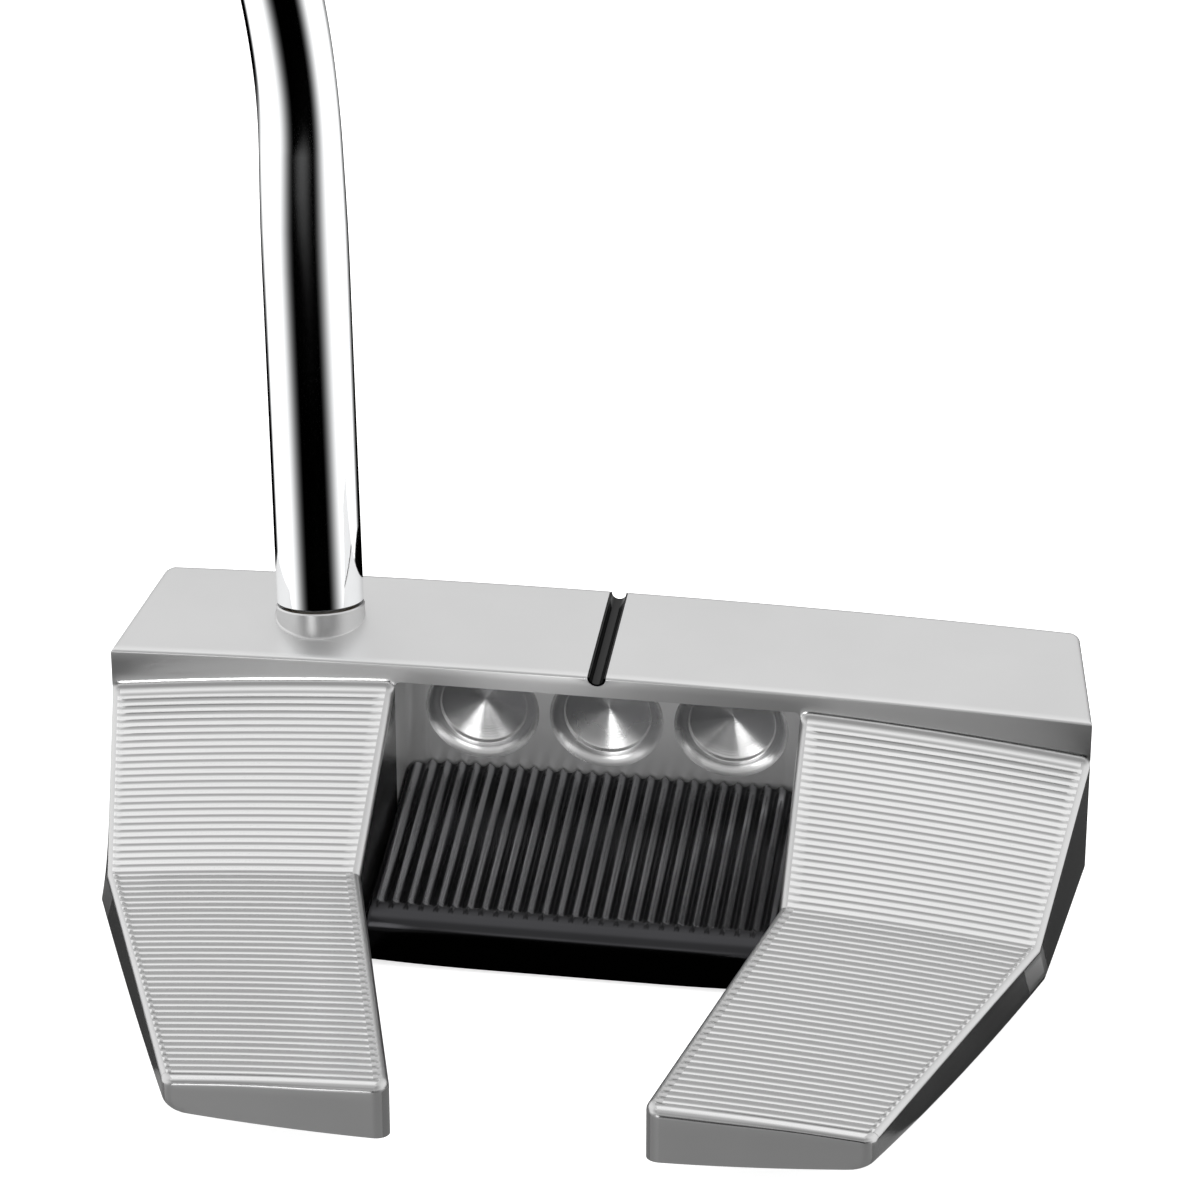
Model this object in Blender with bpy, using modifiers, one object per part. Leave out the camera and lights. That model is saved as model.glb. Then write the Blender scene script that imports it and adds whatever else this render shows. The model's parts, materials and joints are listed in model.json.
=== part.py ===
"""Mallet putter, modelled in metres with +Z up.

The origin is on the ground, in the middle of the flat land of the sole, straight under the
rear edge of the top bar. +X points to the toe, +Y to the target and +Z up, with the club
soled at its lie angle. The head is a milled steel body with a striking bar and two wings;
an aluminium flange plate with ribs closes the middle of the sole. A chromed steel shaft
stands on a round spud of the body, bends once, and carries a rubber pistol grip.
"""

import math

import bmesh
import bpy
import numpy as np
from mathutils import Matrix, Vector

MM = 0.001
GAP = 0.3 * MM  # left between two pieces that touch
PAINT_GAP = 0.05 * MM  # left under the paint of the sight line

# Plan of the head. Half widths are measured from the middle plane.
BAR_DEPTH = 17.8 * MM
BAR_REAR_HALF_WIDTH = 52.75 * MM
BAR_FRONT_HALF_WIDTH = 50.1 * MM
WING_FOLD_BACK = 20.5 * MM
WING_FOLD_OUTER = 49.4 * MM
WING_TIP_BACK = 57.6 * MM
WING_TIP_OUTER = 35.65 * MM
WING_TIP_INNER = 12.5 * MM
CAVITY_HALF_WIDTH = 21.8 * MM
WING_FOLD_INNER = CAVITY_HALF_WIDTH + 0.3 * MM
CORNER_RADIUS = 1.5 * MM

# Heights of the head. The wing heights are those of the crest of its crown.
HEAD_HEIGHT = 24.2 * MM
TOP_CROWN_RADIUS = 1230 * MM
WING_ROOT_STEP = 2.15 * MM
WING_FOLD_HEIGHT = 11.5 * MM
WING_TIP_HEIGHT = 11.2 * MM
WING_CROWN_RADIUS = 380 * MM
FACE_LOFT = math.radians(3)

# Sole: a flat land with four cambers round it.
LAND_HALF_WIDTH = 9 * MM
LAND_FRONT = 10 * MM
LAND_BACK = 12 * MM
SOLE_SIDE_RADIUS = 248 * MM
SOLE_REAR_RADIUS = 236 * MM
SOLE_FRONT_RADIUS = 43 * MM

# Cavity behind the face, with its row of turned dimples.
CAVITY_DEPTH = 7.8 * MM
OVERHANG = 2.5 * MM
DIMPLE_PITCH = 13.6 * MM
DIMPLE_RADIUS = 6.2 * MM
DIMPLE_DROP = 7.7 * MM  # from the ceiling of the cavity down to the row's axis
DIMPLE_STEP_RADIUS = 4.6 * MM
DIMPLE_STEP_DEPTH = 1.0 * MM
DIMPLE_DEPTH = 2.3 * MM
SIGHT_RADIUS = 1.0 * MM
SIGHT_AXIS = HEAD_HEIGHT - 0.15 * MM

# Ribbed flange plate, and the ears under the wings that its screws go through.
PLATE_BACK = WING_FOLD_BACK + 0.8 * MM
PLATE_WALL_HEIGHT = 7.3 * MM
PLATE_LIP_HEIGHT = 5.7 * MM
LIP_LENGTH = 2.4 * MM
RIB_PITCH = 1.6 * MM
RIB_DEPTH = 0.45 * MM
EAR_HALF_WIDTH = CAVITY_HALF_WIDTH + 8.2 * MM
EAR_TOP = 3.6 * MM
EAR_BACK = PLATE_BACK - 1 * MM
EAR_LENGTH = 16 * MM

# Countersunk socket screws of the plate.
SCREW_EDGE = 4.1 * MM  # from a screw's axis to the free edges of its ear
SCREW_RADIUS = 1.5 * MM
SCREW_HEAD_RADIUS = 2.8 * MM
SCREW_HEAD_HEIGHT = 1.6 * MM
SCREW_LENGTH = 8.5 * MM
SCREW_SOCKET = 1.15 * MM
SCREW_SOCKET_DEPTH = 1.1 * MM
SCREW_SINK = 0.25 * MM

# Screw-in sole weights.
WEIGHT_EDGE = 11.75 * MM  # from a weight's axis to the end of the bar
WEIGHT_Y = 4 * MM
WEIGHT_RADIUS = 7 * MM
WEIGHT_HEAD = 3 * MM
WEIGHT_SHANK_RADIUS = 5 * MM
WEIGHT_LENGTH = 8.5 * MM
WEIGHT_SINK = 0.35 * MM
SPANNER_RADIUS = 1 * MM
SPANNER_OFFSET = 4 * MM
SPANNER_DEPTH = 1.8 * MM

# Hosel: a collar on the bar and the spud inside the shaft.
HOSEL_X = -31.4 * MM
HOSEL_Y = 9.0 * MM
LEAN_HEEL = math.radians(3.87)
LEAN_FORWARD = math.radians(15.05)
COLLAR_HEIGHT = 1.4 * MM
COLLAR_FLARE = 0.8 * MM
SPUD_LENGTH = 24 * MM
BOND_WALL = 0.35 * MM

# Shaft.
CLUB_LENGTH = 864 * MM
LIE = math.radians(70)
SHAFT_TIP_DIAMETER = 9.4 * MM
SHAFT_BUTT_DIAMETER = 14.7 * MM
SHAFT_WALL = 0.55 * MM
TAPER_START = 170 * MM
BEND_START = 51.4 * MM
BEND_RADIUS = 92 * MM
BEND_STEPS = 9

# Grip.
GRIP_LENGTH = 266 * MM
GRIP_CAP = 4 * MM
GRIP_VENT_RADIUS = 1.6 * MM
TAPE_WALL = 0.4 * MM
TAPE_SETBACK = 22 * MM  # the tape starts this far inside the mouth

SIDES = 32
SMALL_SIDES = 16

UP = Vector((0, 0, 1))


def clear_scene():
    """Remove every object of the file."""
    for obj in list(bpy.data.objects):
        bpy.data.objects.remove(obj, do_unlink=True)


def new_collection(name):
    """Make a collection in the scene."""
    made = bpy.data.collections.new(name)
    bpy.context.scene.collection.children.link(made)
    return made


def material(name, color, roughness, metallic):
    """Make a plain Principled material."""
    made = bpy.data.materials.new(name)
    made.use_nodes = True
    shader = made.node_tree.nodes["Principled BSDF"]
    shader.inputs["Base Color"].default_value = (*color, 1)
    shader.inputs["Roughness"].default_value = roughness
    shader.inputs["Metallic"].default_value = metallic
    return made


def add_object(name, mesh, is_cutter=False):
    """Put a mesh in the scene, as a part or as a hidden cutter."""
    obj = bpy.data.objects.new(name, mesh)
    (CUTTERS if is_cutter else PARTS).objects.link(obj)
    if is_cutter:
        obj.hide_render = True
        obj.display_type = "WIRE"
    return obj


def mesh_of(name, bm):
    """Turn a bmesh into a mesh with its faces pointing out."""
    bmesh.ops.recalc_face_normals(bm, faces=bm.faces)
    mesh = bpy.data.meshes.new(name)
    bm.to_mesh(mesh)
    bm.free()
    return mesh


def box(name, low, high):
    """A block between two corners, as a cutter."""
    bm = bmesh.new()
    bmesh.ops.create_cube(bm, size=1)
    size = [h - l for l, h in zip(low, high)]
    middle = [(h + l) / 2 for l, h in zip(low, high)]
    bmesh.ops.scale(bm, vec=size, verts=bm.verts)
    bmesh.ops.translate(bm, vec=middle, verts=bm.verts)
    return add_object(name, mesh_of(name, bm), is_cutter=True)


def aligned(place, direction):
    """The matrix that moves the origin to place and turns +Z to direction."""
    turn = UP.rotation_difference(Vector(direction)).to_matrix().to_4x4()
    return Matrix.Translation(place) @ turn


def rod(name, radius, place, direction, length, sides=SMALL_SIDES, end_radius=None):
    """A round cutter that starts at place and runs along direction."""
    bm = bmesh.new()
    bmesh.ops.create_cone(
        bm,
        cap_ends=True,
        segments=sides,
        radius1=radius,
        radius2=radius if end_radius is None else end_radius,
        depth=length,
    )
    bmesh.ops.translate(bm, vec=(0, 0, length / 2), verts=bm.verts)
    obj = add_object(name, mesh_of(name, bm), is_cutter=True)
    obj.matrix_world = aligned(place, direction)
    return obj


def turned(name, profile, place, direction, sides=SIDES, is_cutter=False):
    """A turned piece. The profile is (radius, height) pairs down its outer side, and a
    profile that doesn't start on the axis is a closed ring."""
    mesh = bpy.data.meshes.new(name)
    points = [(radius, 0, height) for radius, height in profile]
    edges = [(i, i + 1) for i in range(len(points) - 1)]
    if profile[0][0] > 0:
        edges.append((len(points) - 1, 0))
    mesh.from_pydata(points, edges, [])
    obj = add_object(name, mesh, is_cutter)
    screw = obj.modifiers.new("turn", "SCREW")
    screw.steps = sides
    screw.render_steps = sides
    screw.use_merge_vertices = True
    screw.merge_threshold = 0.00001
    obj.matrix_world = aligned(place, direction)
    return obj


def ring_profile(inner, outer, low, high):
    """The closed profile of a sleeve, with a radius pair (low end, high end) for each wall."""
    return [(outer[1], high), (outer[0], low), (inner[0], low), (inner[1], high)]


def rounded(points, radius, segments=4):
    """The outline with an arc in each corner whose radius isn't zero."""
    outline = []
    for i, corner in enumerate(points):
        corner = Vector(corner)
        before = (Vector(points[i - 1]) - corner).normalized()
        after = (Vector(points[(i + 1) % len(points)]) - corner).normalized()
        size = radius[i]
        if not size:
            outline.append(corner)
            continue
        half = before.angle(after) / 2
        center = corner + (before + after).normalized() * size / math.sin(half)
        spoke = corner + before * size / math.tan(half) - center
        turn = (math.pi - 2 * half) * math.copysign(1, after.cross(before))
        for step in range(segments + 1):
            outline.append(center + Matrix.Rotation(turn * step / segments, 2) @ spoke)
    return outline


def outline_prism(name, points, low, high, is_cutter=False):
    """A flat outline made a solid between two heights, as a mesh."""
    curve = bpy.data.curves.new(name, "CURVE")
    curve.dimensions = "2D"
    curve.fill_mode = "BOTH"
    curve.extrude = (high - low) / 2
    spline = curve.splines.new("POLY")
    spline.points.add(len(points) - 1)
    for point, (x, y) in zip(spline.points, points):
        point.co = (x, y, 0, 1)
    spline.use_cyclic_u = True
    holder = bpy.data.objects.new(name + "_outline", curve)
    bpy.context.scene.collection.objects.link(holder)
    mesh = welded_mesh(holder, name)
    mesh.transform(Matrix.Translation((0, 0, (high + low) / 2)))
    return add_object(name, mesh, is_cutter)


def welded_mesh(holder, name):
    """The mesh of a curve object, with its loose caps welded. The curve is removed."""
    bpy.context.view_layer.update()
    graph = bpy.context.evaluated_depsgraph_get()
    mesh = bpy.data.meshes.new_from_object(holder.evaluated_get(graph))
    mesh.name = name
    curve = holder.data
    bpy.data.objects.remove(holder)
    bpy.data.curves.remove(curve)
    bm = bmesh.new()
    bm.from_mesh(mesh)
    bmesh.ops.remove_doubles(bm, verts=bm.verts, dist=0.000001)
    bm.to_mesh(mesh)
    bm.free()
    return mesh


def form(name, xs, ys, surface, level):
    """A cutter between a curved surface z(x, y) and a flat height, lofted over a grid."""
    grid = np.array([[(x, y, surface(x, y)) for x in xs] for y in ys])
    flat = grid.copy()
    flat[:, :, 2] = level
    bm = bmesh.new()
    sheets = [[[bm.verts.new(p) for p in row] for row in part] for part in (grid, flat)]
    for sheet in sheets:
        for j in range(len(ys) - 1):
            for i in range(len(xs) - 1):
                bm.faces.new((sheet[j][i], sheet[j][i + 1], sheet[j + 1][i + 1], sheet[j + 1][i]))
    first, second = sheets
    for j in range(len(ys) - 1):
        for i in (0, len(xs) - 1):
            bm.faces.new((first[j][i], first[j + 1][i], second[j + 1][i], second[j][i]))
    for i in range(len(xs) - 1):
        for j in (0, len(ys) - 1):
            bm.faces.new((first[j][i], first[j][i + 1], second[j][i + 1], second[j][i]))
    return add_object(name, mesh_of(name, bm), is_cutter=True)


def combine(target, tools, operation):
    """Add one Boolean for each tool."""
    for tool in tools:
        modifier = target.modifiers.new(tool.name, "BOOLEAN")
        modifier.operation = operation
        modifier.solver = "EXACT"
        modifier.object = tool


def soften(obj, angle=35):
    """Smooth shading, with edges over the angle kept sharp."""
    obj.data.shade_smooth()
    obj.data.set_sharp_from_angle(angle=math.radians(angle))


def sole_height(x, y):
    """Height of the sole: flat in the land, a circular camber beyond each side of it."""
    side = max(abs(x) - LAND_HALF_WIDTH, 0) ** 2 / (2 * SOLE_SIDE_RADIUS)
    rear = max(-LAND_BACK - y, 0) ** 2 / (2 * SOLE_REAR_RADIUS)
    front = max(y - LAND_FRONT, 0) ** 2 / (2 * SOLE_FRONT_RADIUS)
    return side + rear + front


def top_height(x, _y=0):
    """Height of the top of the bar, crowned from heel to toe."""
    return HEAD_HEIGHT - x * x / (2 * TOP_CROWN_RADIUS)


def wing_height(x, y):
    """Height of the wings: steep down to the fold, nearly level behind it, crowned in X."""
    crest = np.interp(
        y,
        (-WING_TIP_BACK, -WING_FOLD_BACK, 0),
        (WING_TIP_HEIGHT, WING_FOLD_HEIGHT, HEAD_HEIGHT - WING_ROOT_STEP),
    )
    return crest - x * x / (2 * WING_CROWN_RADIUS)


def sole_normal(x):
    """The direction that points out of the sole at x, for a weight's axis."""
    side = max(abs(x) - LAND_HALF_WIDTH, 0) / SOLE_SIDE_RADIUS
    return Vector((math.copysign(side, x), 0, -1)).normalized()


def shaft_start():
    """Where the shaft's axis leaves the top of the bar, and its direction there."""
    place = Vector((HOSEL_X, HOSEL_Y, top_height(HOSEL_X)))
    direction = Vector((-math.tan(LEAN_HEEL), math.tan(LEAN_FORWARD), 1)).normalized()
    return place, direction


def shaft_path():
    """Points of the shaft's centreline from the collar to the butt, and the upper direction."""
    place, low = shaft_start()
    high = Vector((-1 / math.tan(LIE), 0, 1)).normalized()
    turn = low.angle(high)
    axis = low.cross(high).normalized()
    inward = axis.cross(low).normalized()
    points = [place + low * (COLLAR_HEIGHT + GAP), place + low * BEND_START]
    center = points[-1] + inward * BEND_RADIUS
    for step in range(1, BEND_STEPS + 1):
        spoke = Matrix.Rotation(turn * step / BEND_STEPS, 3, axis) @ -inward
        points.append(center + spoke * BEND_RADIUS)
    run = BEND_START + BEND_RADIUS * turn
    left = CLUB_LENGTH - top_height(HOSEL_X) - run
    points.append(points[-1] + high * (TAPER_START - run))
    points.append(points[-2] + high * left)
    return points, high


def shaft_radius(from_butt):
    """Outer radius of the shaft at a distance down from its butt, in the tapered stretch."""
    length = CLUB_LENGTH - top_height(HOSEL_X) - TAPER_START
    share = min(max(from_butt / length, 0), 1)
    return (SHAFT_BUTT_DIAMETER * (1 - share) + SHAFT_TIP_DIAMETER * share) / 2


def head_outline():
    """The plan of the head: bar, two wings and the gap between them."""
    front = 2 * BAR_DEPTH
    slope = (BAR_REAR_HALF_WIDTH - BAR_FRONT_HALF_WIDTH) / BAR_DEPTH
    right = [
        (BAR_REAR_HALF_WIDTH - slope * front, front),
        (BAR_REAR_HALF_WIDTH, 0),
        (WING_FOLD_OUTER, -WING_FOLD_BACK),
        (WING_TIP_OUTER, -WING_TIP_BACK),
        (WING_TIP_INNER, -WING_TIP_BACK),
        (WING_FOLD_INNER, -WING_FOLD_BACK),
        (CAVITY_HALF_WIDTH, 0),
    ]
    left = [(-x, y) for x, y in reversed(right)]
    radii = [0, CORNER_RADIUS, 2 * CORNER_RADIUS, CORNER_RADIUS, CORNER_RADIUS, 0, 0]
    return rounded(right + left, radii + radii[::-1])


def face_cutter():
    """The block in front of the lofted striking face."""
    reach = 4 * HEAD_HEIGHT
    block = box("cut_face", (-reach, 0, -reach), (reach, reach, reach))
    turn = Matrix.Rotation(FACE_LOFT, 4, "X")
    block.matrix_world = Matrix.Translation((0, BAR_DEPTH, HEAD_HEIGHT)) @ turn
    return block


def sight_groove():
    """The round-bottomed sight groove, with straight sides up through the top."""
    bottom = [(SIGHT_RADIUS * math.cos(a), SIGHT_RADIUS * math.sin(a)) for a in half_turn()]
    outline = [*bottom, (SIGHT_RADIUS, HEAD_HEIGHT), (-SIGHT_RADIUS, HEAD_HEIGHT)]
    groove = outline_prism("cut_sight", outline, -2 * BAR_DEPTH, 2 * MM, is_cutter=True)
    groove.data.transform(Matrix.Translation((0, 0, SIGHT_AXIS)) @ Matrix.Rotation(math.pi / 2, 4, "X"))
    return groove


def half_turn(steps=10):
    """Angles along the lower half of a circle, from -X to +X."""
    return np.linspace(-math.pi, 0, steps + 1)


def dimple_cutter(index):
    """One turned dimple: a rim, a step and a shallow cone."""
    profile = [
        (0, 2 * MM),
        (DIMPLE_RADIUS, 2 * MM),
        (DIMPLE_RADIUS, 0),
        (DIMPLE_STEP_RADIUS, -DIMPLE_STEP_DEPTH),
        (0, -DIMPLE_DEPTH),
    ]
    height = HEAD_HEIGHT - OVERHANG - DIMPLE_DROP
    place = ((index - 1) * DIMPLE_PITCH, CAVITY_DEPTH, height)
    return turned(f"cut_dimple_{index + 1}", profile, place, (0, -1, 0), is_cutter=True)


def ear_front():
    """Where the ears of the plate end in front."""
    return EAR_LENGTH - EAR_BACK


def screw_places():
    """Where the four screw heads of the plate are, on their axes."""
    out = EAR_HALF_WIDTH - SCREW_EDGE
    rows = (-EAR_BACK + SCREW_EDGE, -EAR_BACK + EAR_LENGTH - SCREW_EDGE)
    return [Vector((x, y, sole_height(x, y) + SCREW_SINK)) for x in (-out, out) for y in rows]


def weight_place(side):
    """Where a weight's outer face is, on its axis."""
    x = side * (BAR_REAR_HALF_WIDTH - WEIGHT_EDGE)
    out = sole_normal(x)
    return Vector((x, WEIGHT_Y, sole_height(x, WEIGHT_Y))) - out * WEIGHT_SINK, out


def build_head_body():
    """The milled steel body, with the collar and the spud of the shaft."""
    reach = 1.5 * max(BAR_REAR_HALF_WIDTH, WING_TIP_BACK)
    high = 2 * HEAD_HEIGHT
    xs = np.linspace(-BAR_REAR_HALF_WIDTH - 1 * MM, BAR_REAR_HALF_WIDTH + 1 * MM, 21)
    body = outline_prism("head_body", head_outline(), -4 * MM, high)
    wing_ys = (-WING_TIP_BACK - 2 * MM, -WING_FOLD_BACK, 0)
    top_ys = (-1 * MM, 3 * BAR_DEPTH)
    ear = GAP + EAR_HALF_WIDTH
    cutters = [
        form("cut_sole", sole_xs(xs), sole_ys(), sole_height, -2 * high),
        form("cut_wings", xs, wing_ys, wing_height, 2 * high),
        form("cut_top", xs, top_ys, top_height, 2 * high),
        face_cutter(),
        box(
            "cut_cavity",
            (-CAVITY_HALF_WIDTH, -2 * MM, -reach),
            (CAVITY_HALF_WIDTH, CAVITY_DEPTH, HEAD_HEIGHT - OVERHANG),
        ),
        box("cut_ears", (-ear, -EAR_BACK - GAP, -reach), (ear, ear_front() + GAP, EAR_TOP + GAP)),
        sight_groove(),
    ]
    cutters += [dimple_cutter(index) for index in range(3)]
    for index, place in enumerate(screw_places()):
        hole = SCREW_RADIUS + GAP
        cutters.append(rod(f"cut_thread_{index + 1}", hole, place, UP, SCREW_LENGTH + 2 * GAP))
    for side, label in ((-1, "heel"), (1, "toe")):
        cutters.append(weight_pocket(side, label))
    combine(body, cutters, "DIFFERENCE")
    combine(body, [hosel()], "UNION")
    soften(body)
    return body


def sole_xs(xs):
    """The grid columns of the sole, with one on each edge of its land."""
    inner = (-LAND_HALF_WIDTH, LAND_HALF_WIDTH)
    return sorted([x for x in xs if abs(x) > LAND_HALF_WIDTH + 1 * MM] + list(inner))


def sole_ys():
    """The grid rows of the sole: closer together where it curves more."""
    rear = np.linspace(-WING_TIP_BACK - 2 * MM, -LAND_BACK, 7)
    front = np.linspace(LAND_FRONT, 1.5 * BAR_DEPTH, 6)
    return [*rear, *front]


def weight_pocket(side, label):
    """The stepped pocket of a weight, open to the sole."""
    place, out = weight_place(side)
    profile = [
        (0, 3 * MM),
        (WEIGHT_RADIUS + GAP, 3 * MM),
        (WEIGHT_RADIUS + GAP, -WEIGHT_HEAD - GAP),
        (WEIGHT_SHANK_RADIUS + GAP, -WEIGHT_HEAD - GAP),
        (WEIGHT_SHANK_RADIUS + GAP, -WEIGHT_LENGTH - GAP),
        (0, -WEIGHT_LENGTH - GAP),
    ]
    return turned(f"cut_pocket_{label}", profile, place, out, is_cutter=True)


def hosel():
    """The collar with its flared foot, and the spud that the shaft goes over."""
    place, direction = shaft_start()
    outer = SHAFT_TIP_DIAMETER / 2 + 0.1 * MM
    spud = spud_radius()
    profile = [
        (0, COLLAR_HEIGHT + SPUD_LENGTH),
        (spud - 0.5 * MM, COLLAR_HEIGHT + SPUD_LENGTH),
        (spud, COLLAR_HEIGHT + SPUD_LENGTH - 0.5 * MM),
        (spud, COLLAR_HEIGHT),
        (outer, COLLAR_HEIGHT),
        (outer, COLLAR_FLARE),
        (outer + COLLAR_FLARE, -COLLAR_FLARE),
        (outer + COLLAR_FLARE, -3 * COLLAR_FLARE),
        (0, -3 * COLLAR_FLARE),
    ]
    return turned("add_hosel", profile, place, direction, is_cutter=True)


def spud_radius():
    """The spud leaves room for the bond inside the shaft's bore."""
    return SHAFT_TIP_DIAMETER / 2 - SHAFT_WALL - BOND_WALL - 2 * GAP


def rib_section():
    """The plate's section across the ribs: scallops on top and a flat bottom far below."""
    half = CAVITY_HALF_WIDTH - GAP
    count = int(2 * half / RIB_PITCH)
    edge = count * RIB_PITCH / 2
    top = [(-half, 0)]
    for index in range(count):
        start = -edge + index * RIB_PITCH
        for share in (0.12, 0.3, 0.5, 0.7, 0.88):
            depth = RIB_DEPTH * math.sin(math.pi * (share - 0.12) / 0.76)
            top.append((start + share * RIB_PITCH, -depth))
    top.append((half, 0))
    return [(half, -2 * PLATE_WALL_HEIGHT), (-half, -2 * PLATE_WALL_HEIGHT), *top][::-1]


def build_sole_flange():
    """The black flange plate: ribbed deck, smooth rear lip and two ears under the wings."""
    front = CAVITY_DEPTH - GAP
    length = front + PLATE_BACK
    fall = math.atan2(PLATE_WALL_HEIGHT - PLATE_LIP_HEIGHT, length)
    deck = outline_prism("sole_flange", rib_section(), -2 * MM, length)
    place = Matrix.Translation((0, front, PLATE_WALL_HEIGHT))
    deck.data.transform(place @ Matrix.Rotation(fall + math.pi / 2, 4, "X"))
    half = CAVITY_HALF_WIDTH - GAP
    lip = lip_roll(half)
    ears = box(
        "add_ears",
        (-EAR_HALF_WIDTH, -EAR_BACK, -2 * MM),
        (EAR_HALF_WIDTH, ear_front(), EAR_TOP),
    )
    reach = 2 * EAR_HALF_WIDTH
    trims = [
        box("trim_front", (-reach, front, -reach), (reach, reach, reach)),
        box("trim_back", (-reach, -reach, -reach), (reach, -PLATE_BACK, reach)),
        form(
            "trim_sole",
            sole_xs(np.linspace(-EAR_HALF_WIDTH - 1 * MM, EAR_HALF_WIDTH + 1 * MM, 13)),
            (-PLATE_BACK - 1 * MM, -LAND_BACK, front + 1 * MM),
            sole_height,
            -reach,
        ),
    ]
    combine(deck, [lip, ears], "UNION")
    for index, spot in enumerate(screw_places()):
        trims.append(screw_hole(index, spot))
    combine(deck, trims, "DIFFERENCE")
    soften(deck)
    return deck


def lip_roll(half):
    """The smooth rounded lip along the back of the plate."""
    back = -PLATE_BACK
    radius = LIP_LENGTH / 2
    outline = [(back, -2 * MM), (back + LIP_LENGTH, -2 * MM)]
    crest = PLATE_LIP_HEIGHT - radius
    for step in range(9):
        angle = math.pi * step / 8
        outline.append((back + radius + radius * math.cos(angle), crest + radius * math.sin(angle)))
    lip = outline_prism("add_lip", outline, -half, half, is_cutter=True)
    lip.data.transform(Matrix(((0, 0, 1, 0), (1, 0, 0, 0), (0, 1, 0, 0), (0, 0, 0, 1))))
    return lip


def screw_hole(index, place):
    """The countersunk through hole of a screw."""
    slope = SCREW_HEAD_RADIUS - SCREW_RADIUS
    profile = [
        (0, 3 * MM),
        (SCREW_HEAD_RADIUS + GAP, 3 * MM),
        (SCREW_HEAD_RADIUS + GAP, -GAP),
        (SCREW_RADIUS + GAP, -SCREW_HEAD_HEIGHT - GAP),
        (SCREW_RADIUS + GAP, -EAR_TOP - slope),
        (0, -EAR_TOP - slope),
    ]
    return turned(f"cut_screw_{index + 1}", profile, place, -UP, SMALL_SIDES, is_cutter=True)


def build_screw(index, place):
    """One countersunk socket screw, its head down and its tip up in the steel."""
    profile = [
        (0, 0),
        (SCREW_HEAD_RADIUS, 0),
        (SCREW_RADIUS, -SCREW_HEAD_HEIGHT),
        (SCREW_RADIUS, -SCREW_LENGTH + 0.5 * MM),
        (SCREW_RADIUS - 0.5 * MM, -SCREW_LENGTH),
        (0, -SCREW_LENGTH),
    ]
    screw = turned(f"flange_screw_{index + 1}", profile, place, -UP, SMALL_SIDES)
    start = place - UP * GAP
    socket = rod(f"cut_socket_{index + 1}", SCREW_SOCKET, start, UP, SCREW_SOCKET_DEPTH + GAP, 6)
    combine(screw, [socket], "DIFFERENCE")
    return screw


def build_weight(side, label):
    """One screw-in weight with two blind holes for a pin spanner."""
    place, out = weight_place(side)
    edge = 0.4 * MM
    profile = [
        (0, 0),
        (WEIGHT_RADIUS - edge, 0),
        (WEIGHT_RADIUS, -edge),
        (WEIGHT_RADIUS, -WEIGHT_HEAD),
        (WEIGHT_SHANK_RADIUS, -WEIGHT_HEAD),
        (WEIGHT_SHANK_RADIUS, -WEIGHT_LENGTH + edge),
        (WEIGHT_SHANK_RADIUS - edge, -WEIGHT_LENGTH),
        (0, -WEIGHT_LENGTH),
    ]
    weight = turned(f"{label}_weight", profile, place, out)
    pins = []
    for sign, word in ((-1, "a"), (1, "b")):
        spot = place + Vector((0, sign * SPANNER_OFFSET, 0)) + out * GAP
        depth = SPANNER_DEPTH + GAP
        pins.append(rod(f"cut_spanner_{label}_{word}", SPANNER_RADIUS, spot, -out, depth))
    combine(weight, pins, "DIFFERENCE")
    return weight


def build_sight_fill():
    """The black paint that fills the bottom of the sight groove."""
    radius = SIGHT_RADIUS - PAINT_GAP
    outline = [(radius * math.cos(a), radius * math.sin(a)) for a in half_turn()]
    level = -0.45 * SIGHT_RADIUS
    low = [(x, y) for x, y in outline if y < level]
    strip = outline_prism("sight_line_fill", low, 0, BAR_DEPTH - 2 * GAP)
    turn = Matrix.Rotation(math.pi / 2, 4, "X")
    strip.data.transform(Matrix.Translation((0, BAR_DEPTH - GAP, SIGHT_AXIS)) @ turn)
    return strip


def build_bond():
    """The sleeve of epoxy between the spud and the shaft."""
    place, direction = shaft_start()
    inner = spud_radius() + GAP
    outer = inner + BOND_WALL
    low = COLLAR_HEIGHT + GAP
    high = COLLAR_HEIGHT + SPUD_LENGTH - 1 * MM
    profile = ring_profile((inner, inner), (outer, outer), low, high)
    return turned("shaft_bond", profile, place, direction, SMALL_SIDES)


def build_shaft():
    """The bent steel tube, from the collar to the butt."""
    points, _ = shaft_path()
    curve = bpy.data.curves.new("shaft", "CURVE")
    curve.dimensions = "3D"
    curve.bevel_depth = SHAFT_TIP_DIAMETER / 2
    curve.bevel_resolution = 10
    spline = curve.splines.new("POLY")
    spline.points.add(len(points) - 1)
    for point, place in zip(spline.points, points):
        point.co = (*place, 1)
    spline.points[-1].radius = SHAFT_BUTT_DIAMETER / SHAFT_TIP_DIAMETER
    holder = bpy.data.objects.new("shaft_line", curve)
    bpy.context.scene.collection.objects.link(holder)
    shaft = add_object("shaft", welded_mesh(holder, "shaft"))
    wall = shaft.modifiers.new("wall", "SOLIDIFY")
    wall.thickness = SHAFT_WALL
    wall.offset = -1
    wall.use_even_offset = True
    soften(shaft)
    return shaft


def grip_frame():
    """The grip's mouth on the shaft's axis, with Z up the shaft and X to its flat side."""
    points, high = shaft_path()
    mouth = points[-1] - high * (GRIP_LENGTH - GRIP_CAP - GAP)
    across = Vector((0, 1, 0))
    turn = Matrix((across.cross(high), across, high)).transposed().to_4x4()
    return Matrix.Translation(mouth) @ turn


def grip_bore(share):
    """Radius of the grip's bore at a share of its length: room for the shaft and the tape."""
    return shaft_radius((1 - share) * GRIP_LENGTH - GRIP_CAP) + TAPE_WALL + 2 * GAP


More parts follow.
